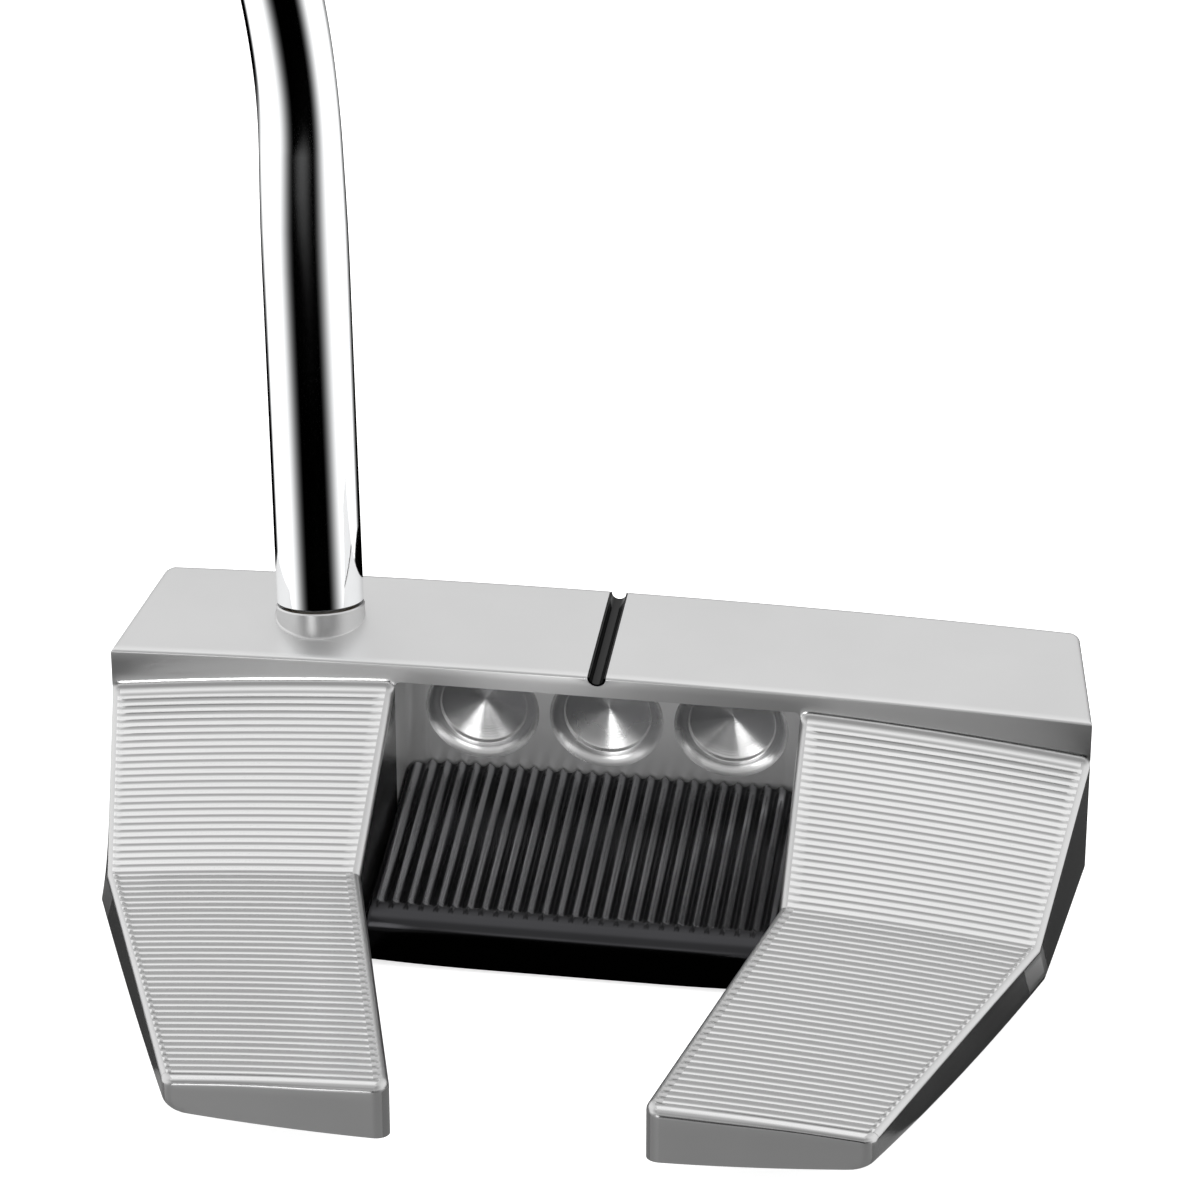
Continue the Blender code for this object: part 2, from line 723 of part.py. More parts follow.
def grip_section(share, sides=28):
    """The grip's section at a share of its length: walls round the bore, thin on the flat
    front, thicker at the sides and swelling behind near the top."""
    bore = grip_bore(share)
    half_width = bore + np.interp(share, (0, 0.08, 0.5, 0.9, 0.97, 1), (1.9, 2.4, 3.3, 5.0, 5.3, 4.3)) * MM
    flat = bore + np.interp(share, (0, 0.08, 0.5, 0.97, 1), (1.6, 1.6, 1.9, 2.3, 1.7)) * MM
    shares = (0, 0.08, 0.35, 0.6, 0.78, 0.9, 0.97, 1)
    back = bore + np.interp(share, shares, (1.9, 2.6, 3.7, 5.8, 9.0, 9.9, 9.7, 8.5)) * MM
    angles = 2 * np.pi * np.arange(sides) / sides
    deep = np.where(np.cos(angles) > 0, 1.12 * half_width, back)
    x = np.minimum(deep * np.cos(angles), flat)
    y = half_width * np.sign(np.sin(angles)) * np.abs(np.sin(angles)) ** 0.9
    return x, y


def build_grip():
    """The rubber pistol grip: a loft of flat-fronted sections, bored for the shaft and its tape."""
    shares = (0, 0.03, 0.08, 0.2, 0.35, 0.5, 0.6, 0.7, 0.78, 0.85, 0.9, 0.97, 1)
    bm = bmesh.new()
    rings = []
    for share in shares:
        xs, ys = grip_section(share)
        rings.append([bm.verts.new((x, y, share * GRIP_LENGTH)) for x, y in zip(xs, ys)])
    count = len(rings[0])
    for lower, upper in zip(rings, rings[1:]):
        for i in range(count):
            j = (i + 1) % count
            bm.faces.new((lower[i], lower[j], upper[j], upper[i]))
    bm.faces.new(rings[0])
    bm.faces.new(rings[-1])
    grip = add_object("grip", mesh_of("grip", bm))
    grip.matrix_world = grip_frame()
    top = 1 - GRIP_CAP / GRIP_LENGTH
    below = 2 * MM
    depth = GRIP_LENGTH - GRIP_CAP + below
    mouth = grip_bore(-below / GRIP_LENGTH)
    bore = rod("cut_bore", mouth, (0, 0, 0), UP, depth, SIDES, grip_bore(top))
    bore.matrix_world = grip_frame() @ Matrix.Translation((0, 0, -below))
    vent = rod("cut_vent", GRIP_VENT_RADIUS, (0, 0, 0), UP, GRIP_LENGTH)
    vent.matrix_world = grip_frame() @ Matrix.Translation((0, 0, GRIP_LENGTH / 2))
    combine(grip, [bore, vent], "DIFFERENCE")
    soften(grip)
    return grip


def build_tape():
    """The adhesive tape between the shaft and the grip, as a thin cone-shaped sleeve."""
    depth = GRIP_LENGTH - GRIP_CAP - GAP
    low = TAPE_SETBACK
    high = depth - GAP
    inner = (shaft_radius(depth - low) + GAP, shaft_radius(depth - high) + GAP)
    outer = (inner[0] + TAPE_WALL, inner[1] + TAPE_WALL)
    tape = turned("grip_tape", ring_profile(inner, outer, low, high), (0, 0, 0), UP)
    tape.matrix_world = grip_frame()
    return tape


def build_putter():
    """Build every piece, give it its material and parent it to the club's empty."""
    steel = material("milled_stainless_steel", (0.62, 0.62, 0.62), 0.35, 1)
    black = material("black_anodised_aluminium", (0.012, 0.012, 0.013), 0.3, 1)
    screws = material("blackened_screw_steel", (0.05, 0.05, 0.05), 0.4, 1)
    paint = material("black_paint", (0.005, 0.005, 0.005), 0.2, 0)
    chrome = material("chromed_steel", (0.8, 0.8, 0.8), 0.05, 1)
    epoxy = material("epoxy", (0.4, 0.35, 0.2), 0.5, 0)
    rubber = material("grip_rubber", (0.02, 0.02, 0.02), 0.8, 0)
    paper = material("tape_paper", (0.75, 0.72, 0.62), 0.9, 0)

    pieces = [
        (build_head_body(), steel),
        (build_sole_flange(), black),
        (build_sight_fill(), paint),
        (build_bond(), epoxy),
        (build_shaft(), chrome),
        (build_tape(), paper),
        (build_grip(), rubber),
    ]
    pieces += [(build_screw(i, place), screws) for i, place in enumerate(screw_places())]
    pieces += [(build_weight(side, label), steel) for side, label in ((-1, "heel"), (1, "toe"))]

    club = bpy.data.objects.new("putter_origin", None)
    PARTS.objects.link(club)
    for piece, finish in pieces:
        piece.data.materials.clear()
        piece.data.materials.append(finish)
        piece.parent = club


clear_scene()
PARTS = new_collection("mallet_putter")
CUTTERS = new_collection("mallet_putter_cutters")
build_putter()
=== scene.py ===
"""Looks of a mallet putter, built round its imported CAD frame.

The steel head, the ribbed flange plate, the bent shaft, the grip, the weights and the screws
are numpy surfaces with the fine shape that the frame leaves out: mill grooves, turned dimples,
rounded rims and rolled lips. Every surface has a procedural finish.
"""

import json
import logging
import math
from dataclasses import dataclass, field, replace
from enum import Enum

import bmesh
import bpy
import numpy as np
from mathutils import Matrix, Vector

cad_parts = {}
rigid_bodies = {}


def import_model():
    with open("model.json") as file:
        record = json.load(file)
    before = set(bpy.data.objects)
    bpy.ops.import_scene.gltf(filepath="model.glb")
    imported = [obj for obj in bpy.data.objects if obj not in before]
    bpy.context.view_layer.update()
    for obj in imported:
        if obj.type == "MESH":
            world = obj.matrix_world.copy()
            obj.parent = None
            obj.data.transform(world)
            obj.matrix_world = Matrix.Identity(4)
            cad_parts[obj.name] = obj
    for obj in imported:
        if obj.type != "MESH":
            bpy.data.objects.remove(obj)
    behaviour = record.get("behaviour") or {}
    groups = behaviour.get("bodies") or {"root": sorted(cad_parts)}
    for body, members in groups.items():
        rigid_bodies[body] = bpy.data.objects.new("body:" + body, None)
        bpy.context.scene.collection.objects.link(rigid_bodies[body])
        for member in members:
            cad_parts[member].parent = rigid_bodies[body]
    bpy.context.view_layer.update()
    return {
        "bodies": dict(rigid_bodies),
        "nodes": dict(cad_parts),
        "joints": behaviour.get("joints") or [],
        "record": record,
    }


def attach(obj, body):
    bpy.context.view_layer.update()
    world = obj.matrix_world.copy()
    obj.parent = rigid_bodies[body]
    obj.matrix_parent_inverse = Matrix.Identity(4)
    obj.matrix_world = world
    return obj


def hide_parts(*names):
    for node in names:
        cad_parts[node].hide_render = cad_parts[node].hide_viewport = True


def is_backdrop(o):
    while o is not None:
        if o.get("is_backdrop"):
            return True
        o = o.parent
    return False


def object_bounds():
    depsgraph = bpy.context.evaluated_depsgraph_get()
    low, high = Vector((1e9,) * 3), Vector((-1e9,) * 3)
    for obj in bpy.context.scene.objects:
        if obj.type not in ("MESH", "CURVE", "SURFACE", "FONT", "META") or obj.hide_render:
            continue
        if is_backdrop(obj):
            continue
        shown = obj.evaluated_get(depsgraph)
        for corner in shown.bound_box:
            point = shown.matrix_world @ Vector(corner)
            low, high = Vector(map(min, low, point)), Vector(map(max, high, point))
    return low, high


LOG = logging.getLogger("putter")
MM = 0.001
GAP = 0.3  # mm between two pieces that touch
SHARP_ANGLE = math.radians(32)
MERGE = 0.0005  # mm between points that are one point

# Sizes that more than one class or finish needs, in millimetres.
HEAD_HEIGHT = 24.2
TOP_CROWN = 1230.0
HOSEL_X = -31.4
COLLAR_HEIGHT = 1.4
CAVITY_DEPTH = 7.8
DIMPLE_PITCH = 13.6
SIGHT_AXIS = 24.05
RIB_PITCH = 1.6

# Socket numbers of the colours of Blender's Mix node.
MIX_FIRST, MIX_SECOND, MIX_RESULT = 6, 7, 2

Array = np.ndarray


class Edge(Enum):
    """The end of a wing or of the bar that a rounding belongs to."""

    INNER = 1
    OUTER = -1


# ---------------------------------------------------------------- meshes


def drop(distance: Array, radius: float | Array) -> Array:
    """How far a rounded edge lies below its flat: a quarter circle that starts at the edge.

    Args:
        distance: Distance from the edge, in any unit.
        radius: Radius of the rounding, in the same unit.

    Returns:
        The drop, radius at the edge and zero from one radius on.
    """
    inside = np.clip(distance, 0, radius)
    return radius - np.sqrt(np.maximum(radius**2 - (radius - inside) ** 2, 0))


def blend(value: Array, low: float, high: float) -> Array:
    """A smooth step from 0 at low to 1 at high: 3t^2 - 2t^3."""
    share = np.clip((value - low) / (high - low), 0, 1)
    return share * share * (3 - 2 * share)


def between(first: Array, last: Array, shares: Array) -> Array:
    """Rows of points on the straight lines from each first point to its last point.

    Args:
        first: Points, shape (n, 3).
        last: Points, shape (n, 3).
        shares: Shares of the way, shape (m,) or (n, m).

    Returns:
        Points, shape (n, m, 3).
    """
    shares = np.broadcast_to(shares, (len(first), np.shape(shares)[-1]))[:, :, None]
    return first[:, None] * (1 - shares) + last[:, None] * shares


def place(x: Array, y: Array, z: Array) -> Array:
    """Points from three arrays that broadcast to one shape."""
    return np.stack(np.broadcast_arrays(x, y, z), -1).astype(float)


class Shell:
    """Grids of points, in millimetres, that share their edges and close into one mesh."""

    def __init__(self) -> None:
        self.points: list[Array] = []
        self.faces: list[list[int]] = []
        self.count = 0

    def add(self, grid: Array, wrap_rows: bool = False, wrap_columns: bool = False) -> None:
        """Add a grid as quads.

        Args:
            grid: Points, shape (rows, columns, 3).
            wrap_rows: Join the last row to the first.
            wrap_columns: Join the last column to the first.
        """
        rows, columns = grid.shape[:2]
        index = self.count + np.arange(rows * columns).reshape(rows, columns)
        if wrap_rows:
            index = np.vstack([index, index[:1]])
        if wrap_columns:
            index = np.hstack([index, index[:, :1]])
        corners = (index[:-1, :-1], index[:-1, 1:], index[1:, 1:], index[1:, :-1])
        self.faces += np.stack(corners, -1).reshape(-1, 4).tolist()
        self.points.append(grid.reshape(-1, 3))
        self.count += rows * columns

    def cap(self, ring: Array) -> None:
        """Close a ring of points with one flat face."""
        self.faces.append(list(range(self.count, self.count + len(ring))))
        self.points.append(ring)
        self.count += len(ring)

    def mirrored(self) -> None:
        """Add the mirror image of everything, on the other side of the middle plane."""
        points = np.concatenate(self.points)
        self.faces += [[i + self.count for i in face] for face in self.faces]
        self.points = [points, points * (-1, 1, 1)]
        self.count *= 2

    def piece(self, name: str, matrix: Matrix | None = None) -> bpy.types.Object:
        """Make the object: doubles merged, faces pointing out, its place in its mesh.

        Args:
            name: The piece's name.
            matrix: Where the piece goes, from its own frame, in metres.

        Returns:
            The new object, at the origin.
        """
        mesh = bpy.data.meshes.new(name)
        mesh.from_pydata((np.concatenate(self.points) * MM).tolist(), [], self.faces)
        bm = bmesh.new()
        bm.from_mesh(mesh)
        bmesh.ops.remove_doubles(bm, verts=bm.verts, dist=MERGE * MM)
        bmesh.ops.recalc_face_normals(bm, faces=bm.faces)
        bm.to_mesh(mesh)
        bm.free()
        if matrix:
            mesh.transform(matrix)
        made = bpy.data.objects.new(name, mesh)
        bpy.context.scene.collection.objects.link(made)
        return made


def carve(piece: bpy.types.Object, tools: list[bpy.types.Object], operation: str) -> None:
    """Cut tools from a piece or join them to it, and remove the tools.

    Args:
        piece: The closed mesh that is changed.
        tools: Closed meshes.
        operation: DIFFERENCE or UNION.
    """
    for tool in tools:
        modifier = piece.modifiers.new(tool.name, "BOOLEAN")
        modifier.operation = operation
        modifier.solver = "MANIFOLD"
        modifier.object = tool
    bpy.context.view_layer.update()
    graph = bpy.context.evaluated_depsgraph_get()
    mesh = bpy.data.meshes.new_from_object(piece.evaluated_get(graph))
    piece.modifiers.clear()
    piece.data = mesh
    mesh.name = piece.name
    for tool in tools:
        bpy.data.objects.remove(tool)


def shade(piece: bpy.types.Object) -> None:
    """Shade smooth, with the sharp edges left sharp."""
    piece.data.shade_smooth()
    piece.data.set_sharp_from_angle(angle=SHARP_ANGLE)


def faces_of(piece: bpy.types.Object) -> tuple[Array, Array]:
    """Where the faces of a piece are and look.

    Args:
        piece: A finished piece.

    Returns:
        The faces' centres in millimetres and their normals, shape (n, 3) each.
    """
    found = []
    for name in ("center", "normal"):
        values = np.empty(3 * len(piece.data.polygons))
        piece.data.polygons.foreach_get(name, values)
        found.append(values.reshape(-1, 3))
    return found[0] / MM, found[1]


def paint(piece: bpy.types.Object, materials: list[bpy.types.Material], index: Array | None = None) -> None:
    """Give a piece its materials.

    Args:
        piece: The finished piece.
        materials: Its materials, in the order that the index counts them.
        index: Number of each face's material, or None for the first one everywhere.
    """
    piece.data.materials.clear()
    for material in materials:
        piece.data.materials.append(material)
    if index is not None:
        piece.data.polygons.foreach_set("material_index", index.astype(np.int32))


def turned(
    name: str, profile: list[tuple[float, float]], matrix: Matrix, sides: int = 96
) -> bpy.types.Object:
    """A turned solid: (radius, height) points carried round the Z axis, closed on the axis.

    Args:
        name: The piece's name.
        profile: Points from one end on the axis to the other.
        matrix: Where the axis goes, in metres.
        sides: Facets round the axis.

    Returns:
        The new object.
    """
    shell = Shell()
    angles = 2 * np.pi * np.arange(sides) / sides
    radius, height = np.array(profile, float).T
    rings = place(
        radius[:, None] * np.cos(angles),
        radius[:, None] * np.sin(angles),
        height[:, None],
    )
    shell.add(rings, wrap_columns=True)
    return shell.piece(name, matrix)


def prism(name: str, rings: list[Array]) -> bpy.types.Object:
    """A solid lofted through closed rings of points, with a flat face on each end.

    Args:
        name: The piece's name.
        rings: Rings with the same number of points, shape (n, 3) each, in millimetres.

    Returns:
        The new object.
    """
    shell = Shell()
    shell.add(np.stack(rings), wrap_columns=True)
    shell.cap(rings[0])
    shell.cap(rings[-1])
    return shell.piece(name)


def aligned(point: Array, direction: Vector) -> Matrix:
    """The matrix that moves the origin to a point, in millimetres, and turns +Z to direction."""
    turn = Vector((0, 0, 1)).rotation_difference(direction).to_matrix().to_4x4()
    return Matrix.Translation(Vector(point) * MM) @ turn


# ---------------------------------------------------------------- head


@dataclass
class Sole:
    """The cambered sole: a flat land with circular cambers round it, sizes in millimetres."""

    land_half_width: float = 9.0
    land_front: float = 10.0
    land_back: float = 12.0
    side_radius: float = 248.0
    rear_radius: float = 236.0
    front_radius: float = 43.0

    def height(self, x: Array, y: Array) -> Array:
        """Height of the sole: distance beyond the land squared over twice the camber's radius.

        Args:
            x: Places along the bar.
            y: Places from rear to front.

        Returns:
            Heights, zero on the land.
        """
        side = np.maximum(np.abs(x) - self.land_half_width, 0) ** 2 / (2 * self.side_radius)
        rear = np.maximum(-self.land_back - y, 0) ** 2 / (2 * self.rear_radius)
        front = np.maximum(y - self.land_front, 0) ** 2 / (2 * self.front_radius)
        return side + rear + front

    def outward(self, x: float) -> Vector:
        """The direction out of the sole at x."""
        side = max(abs(x) - self.land_half_width, 0) / self.side_radius
        return Vector((math.copysign(side, x), 0, -1)).normalized()


@dataclass
class Grooves:
    """A run of mill grooves across a wing, with the crest of each scallop parallel to X."""

    start: float
    end: float
    count: int
    depth: float
    samples: int = 7

    @property
    def pitch(self) -> float:
        """Distance from one crest to the next."""
        return (self.end - self.start) / self.count

    def rows(self) -> Array:
        """Distances behind the bar of the grid rows, the end left out."""
        return np.linspace(self.start, self.end, self.count * self.samples, endpoint=False)

    def depth_at(self, back: Array) -> Array:
        """Depth of the run: in each groove a parabola between two crests.

        Args:
            back: Distances behind the bar.

        Returns:
            Depths, zero outside the run.
        """
        turn = (back - self.start) / (self.end - self.start) * self.count
        inside = (turn >= 0) & (turn <= self.count)
        return np.where(inside, self.depth * (1 - (2 * (turn % 1) - 1) ** 2), 0)


# Fly-cut grooves of the wings, in front of the fold and behind it.
FRONT_GROOVES = Grooves(0.9, 20.5, 26, 0.085)
REAR_GROOVES = Grooves(20.5, 56.5, 35, 0.18)


@dataclass(frozen=True)
class Axis:
    """The axis of the shaft where it leaves the top of the bar, in millimetres."""

    x: float = HOSEL_X
    y: float = 9.0
    z: float = HEAD_HEIGHT - HOSEL_X**2 / (2 * TOP_CROWN)
    lean_heel: float = math.radians(3.87)
    lean_forward: float = math.radians(15.05)

    def direction(self) -> Vector:
        """The unit vector up the lower shaft."""
        return Vector((-math.tan(self.lean_heel), math.tan(self.lean_forward), 1)).normalized()

    def point(self) -> Array:
        """Where the axis crosses the bar's top."""
        return np.array((self.x, self.y, self.z))

    def matrix(self) -> Matrix:
        """The frame with its origin on the bar's top and +Z up the shaft."""
        return aligned(self.point(), self.direction())

    def distance(self, points: Array) -> Array:
        """Distance of points from the axis."""
        return np.linalg.norm(np.cross(points - self.point(), np.array(self.direction())), axis=1)


@dataclass
class Head:
    """The milled steel body: a bar with a cavity behind the face, and two grooved wings.

    Sizes are in millimetres. The half widths are measured from the middle plane.
    """

    sole: Sole
    axis: Axis
    bar_depth: float = 17.8
    rear_half_width: float = 52.75
    front_half_width: float = 50.1
    fold_back: float = 20.5
    fold_outer: float = 49.4
    fold_inner: float = 22.1
    tip_back: float = 57.6
    tip_outer: float = 35.65
    tip_inner: float = 12.5
    cavity_half_width: float = 21.8
    height: float = HEAD_HEIGHT
    top_crown: float = TOP_CROWN
    root_step: float = 2.15
    fold_height: float = 11.5
    tip_height: float = 11.2
    wing_crown: float = 380.0
    loft: float = math.radians(3)
    wall_swell: float = 0.7  # how far the foot of the outer wall stands out at the fold
    inner_rim: float = 1.05  # rounding along the wings' edges, wider beside the gap
    outer_rim: float = 0.75
    tip_corner: float = 1.5
    root_fillet: float = 0.7
    foot_rounding: float = 1.3
    bar_edge: float = 0.35
    bar_corner: float = 1.5
    cavity_depth: float = CAVITY_DEPTH
    cavity_corner: float = 2.3
    cavity_fillet: float = 0.6
    overhang: float = 2.5
    dimple_pitch: float = DIMPLE_PITCH
    dimple_drop: float = 7.7  # from the cavity's ceiling down to the row of dimples
    # Radius and height of each point, with the depth into the wall as a negative height.
    dimple_profile: tuple[tuple[float, float], ...] = (
        (0, 4),
        (6.25, 4),
        (6.25, 0.05),
        (6.17, -0.12),
        (6.02, -0.32),
        (5.8, -0.52),
        (5.52, -0.68),
        (5.2, -0.76),
        (4.92, -0.78),
        (4.8, -0.84),
        (4.72, -1.0),
        (4.64, -1.2),
        (4.5, -1.27),
        (3.4, -1.54),
        (2.2, -1.84),
        (1.0, -2.14),
        (0, -2.35),
    )
    sight_radius: float = 1.0
    sight_axis: float = SIGHT_AXIS
    collar_radius: float = 4.8
    collar_height: float = COLLAR_HEIGHT
    collar_fillet: float = 0.22
    spud_radius: float = 3.2
    spud_length: float = 24.0
    front_grooves: Grooves = field(default_factory=lambda: FRONT_GROOVES)
    rear_grooves: Grooves = field(default_factory=lambda: REAR_GROOVES)
    groove_runout: float = 0.2  # the grooves run out over this much before the rim

    # Grid offsets from an edge, close together where the edge is rounded.
    offsets = np.array([0, 0.015, 0.06, 0.14, 0.25, 0.4, 0.6, 0.85, 1.15, 1.6, 2.2])
    wing_columns: int = 9
    middle_columns: int = 8
    band_levels: int = 3
    wall_levels: int = 5

    def along(self, y: Array, tip: float, fold: float, root: float) -> Array:
        """A size of a wing at y, in straight lines from tip to fold and from fold to root."""
        return np.interp(y, (-self.tip_back, -self.fold_back, 0), (tip, fold, root))

    def outer_line(self, y: Array) -> Array:
        """Half width of the top outline at y, with straight sides between its corners."""
        slope = (self.rear_half_width - self.front_half_width) / self.bar_depth
        wing = self.along(y, self.tip_outer, self.fold_outer, self.rear_half_width)
        return np.where(y > 0, self.rear_half_width - slope * y, wing)

    def inner_line(self, y: Array) -> Array:
        """Half width of the gap between the wings at y."""
        return self.along(y, self.tip_inner, self.fold_inner, self.cavity_half_width)

    def top(self, x: Array) -> Array:
        """Height of the bar's top: a shallow circular crown from heel to toe."""
        return self.height - x * x / (2 * self.top_crown)

    def wing_top(self, x: Array, y: Array) -> Array:
        """Height of a wing: steep down to the fold, level behind it, crowned in X."""
        crest = self.along(y, self.tip_height, self.fold_height, self.height - self.root_step)
        return crest - x * x / (2 * self.wing_crown)

    def tip_arc(self, edge: Edge) -> tuple[float, float, float, float]:
        """The round corner of a wing tip.

        Args:
            edge: Which side of the wing.

        Returns:
            The arc's centre x and y, the y where it leaves the side, and the side's slope.
        """
        line = self.inner_line if edge is Edge.INNER else self.outer_line
        center_y = -self.tip_back + self.tip_corner
        slope = float(line(-self.tip_back + 1) - line(-self.tip_back))
        lean = math.hypot(1, slope)
        center_x = float(line(center_y)) + edge.value * self.tip_corner * lean
        return center_x, center_y, center_y + edge.value * slope * self.tip_corner / lean, slope

    def side(self, y: Array, edge: Edge) -> Array:
        """Half width of a wing's side: its straight line, then the arc of the tip.

        Args:
            y: Places from the tip to the bar.
            edge: Which side of the wing.

        Returns:
            The half widths.
        """
        line = self.inner_line(y) if edge is Edge.INNER else self.outer_line(y)
        x, center, leaves, _ = self.tip_arc(edge)
        arc = x - edge.value * np.sqrt(np.maximum(self.tip_corner**2 - (y - center) ** 2, 0))
        return np.where(y < leaves, arc, line)

    def edge_distance(self, x: Array, y: Array) -> Array:
        """Distance from a point of a wing to the nearest edge: its sides, its end and the arcs.

        Args:
            x: Places across the wing.
            y: Places from the tip to the bar.

        Returns:
            Distances, zero on the edge.
        """
        distance = y + self.tip_back
        for edge in Edge:
            line = self.inner_line(y) if edge is Edge.INNER else self.outer_line(y)
            center_x, center_y, _, slope = self.tip_arc(edge)
            lean = math.hypot(1, slope)
            distance = np.minimum(distance, edge.value * (x - line) / lean)
            toward_end = -edge.value * (x - center_x) > 0
            toward_side = -(slope * (x - center_x) + (y - center_y)) > 0
            corner = self.tip_corner - np.hypot(x - center_x, y - center_y)
            distance = np.where(toward_end & toward_side, corner, distance)
        return np.maximum(distance, 0)

    def columns(self, inner: Array, outer: Array) -> Array:
        """Grid columns between two sides: fixed offsets at both, even shares between them.

        Args:
            inner: Inner x of each row.
            outer: Outer x of each row.

        Returns:
            The x values, shape (rows, columns).
        """
        inner, outer = np.asarray(inner)[:, None], np.asarray(outer)[:, None]
        reach = self.offsets[-1]
        shares = np.linspace(0, 1, self.wing_columns)[1:-1]
        inside = inner + reach + shares * (outer - inner - 2 * reach)
        return np.hstack([inner + self.offsets, inside, outer - self.offsets[::-1]])

    def wing_rows(self) -> Array:
        """y of the grid rows of a wing, from the bar to the tip."""
        root = self.front_grooves.start * np.linspace(0, 1, 6)[:-1] ** 1.5
        end = self.tip_back - np.array([1.3, 1.1, 0.9, 0.7, 0.5, 0.35, 0.22, 0.12, 0.05, 0.015, 0])
        return -np.concatenate([root, self.front_grooves.rows(), self.rear_grooves.rows(), end])

    def bar_rows(self) -> Array:
        """y of the grid rows of the bar, from its rear edge to the face."""
        rear = np.array([0, 0.01, 0.05, 0.12, 0.22, 0.35])
        inside = np.linspace(1, self.bar_depth - self.bar_corner, 7)
        front = self.bar_depth - np.array([1.2, 0.9, 0.65, 0.42, 0.3, 0.18, 0.1, 0.04, 0.01, 0])
        return np.concatenate([rear, inside, front])

    def bar_side(self, y: Array) -> Array:
        """Half width of the bar: a straight side, then the round corner beside the face.

        Args:
            y: Places from the bar's rear edge to its face.

        Returns:
            The half widths.
        """
        center_y = self.bar_depth - self.bar_corner
        slope = (self.rear_half_width - self.front_half_width) / self.bar_depth
        center_x = self.outer_line(center_y) - self.bar_corner * math.hypot(1, slope)
        leaves = center_y + self.bar_corner * slope / math.hypot(1, slope)
        arc = center_x + np.sqrt(np.maximum(self.bar_corner**2 - (y - center_y) ** 2, 0))
        return np.where(y > leaves, arc, self.outer_line(y))

    def wing_surface(self, x: Array, y: Array) -> Array:
        """Height of a finished wing.

        It is the plain top, less the rim's rounding and the grooves, which run out before the
        rim, plus the fillet that climbs the rear of the bar.

        Args:
            x: Places across the wing.
            y: Places from the tip to the bar.

        Returns:
            The heights.
        """
        distance = self.edge_distance(x, y)
        inner, outer = self.inner_line(y), self.outer_line(y)
        across = blend((x - inner) / (outer - inner), 0.25, 0.75)
        rim = self.inner_rim + (self.outer_rim - self.inner_rim) * across
        cut = self.front_grooves.depth_at(-y) + self.rear_grooves.depth_at(-y)
        cut = cut * blend(distance, 0.95 * rim, rim + self.groove_runout)
        climb = drop(-y, self.root_fillet)
        return self.wing_top(x, y) - drop(distance, rim) - cut + climb

    def foot(self, x: Array, y: Array, outer: Array) -> Array:
        """Height of the sole with the rounding along its outer edge."""
        return self.sole.height(x, y) + drop(outer - x, self.foot_rounding)

    def split(self, upper: Array, lower: Array, level: float) -> Array:
        """Shares of the way down a wall of the bar: band levels above a height, wall levels below.

        Args:
            upper: Top points of the wall, shape (n, 3).
            lower: Bottom points of the wall, shape (n, 3).
            level: The height that divides the wall.

        Returns:
            Shares, shape (n, band_levels + wall_levels + 1).
        """
        share = ((upper[:, 2] - level) / (upper[:, 2] - lower[:, 2]))[:, None]
        above = np.linspace(0, 1, self.band_levels + 1) * share
        below = share + np.linspace(0, 1, self.wall_levels + 1)[1:] * (1 - share)
        return np.hstack([above, below])

    def blank(self) -> bpy.types.Object:
        """The body before its cavity, dimples and holes are cut.

        One half is made of grids that share their edges: a wing's top, sole, two sides and end,
        then the bar's top, sole, rear band, end and face. The other half is its mirror image.

        Returns:
            The closed body.
        """
        y = self.wing_rows()
        inner, outer = self.side(y, Edge.INNER), self.side(y, Edge.OUTER)
        x = self.columns(inner, outer)
        wing = place(x, y[:, None], self.wing_surface(x, y[:, None]))
        swell = self.wall_swell * self.along(y, 0, 1, 0)
        foot_x = self.columns(inner, outer + swell)
        under = place(foot_x, y[:, None], self.foot(foot_x, y[:, None], (outer + swell)[:, None]))

        bar_y = self.bar_rows()
        bar_outer = self.bar_side(bar_y)
        middle = np.linspace(0, self.cavity_half_width, self.middle_columns)[:-1]
        ends = self.columns(np.full_like(bar_y, self.cavity_half_width), bar_outer)
        bar_x = np.hstack([np.broadcast_to(middle, (len(bar_y), len(middle))), ends])
        to_end = np.minimum(self.bar_depth - bar_y, bar_y)[:, None]
        edge = np.minimum(to_end, bar_outer[:, None] - bar_x)
        bar = place(bar_x, bar_y[:, None], self.top(bar_x) - drop(edge, self.bar_edge))
        fall = self.height - self.sole.height(bar_x, self.bar_depth)
        face_y = self.bar_depth + fall * math.tan(self.loft)
        sole_y = bar_y[:, None] * face_y / self.bar_depth
        bar_sole = place(bar_x, sole_y, self.foot(bar_x, sole_y, bar_outer[:, None]))

        shell = Shell()
        levels = np.linspace(0, 1, self.wall_levels + 1)
        band = np.linspace(0, 1, self.band_levels + 1)
        count = len(middle)
        for grid in (wing, under, bar, bar_sole):
            shell.add(grid)
        for line, foot in ((wing[:, 0], under[:, 0]), (wing[:, -1], under[:, -1]), (wing[-1], under[-1])):
            shell.add(between(line, foot, levels))
        shell.add(between(bar[0, count:], wing[0], band))
        rear, rear_foot = bar[0, : count + 1], bar_sole[0, : count + 1]
        shell.add(between(rear, rear_foot, self.split(rear, rear_foot, wing[0, 0, 2])))
        for line, foot in ((bar[:, -1], bar_sole[:, -1]), (bar[-1], bar_sole[-1])):
            shell.add(between(line, foot, self.split(line, foot, wing[0, -1, 2])))
        shell.mirrored()
        return shell.piece("head_body_milled")

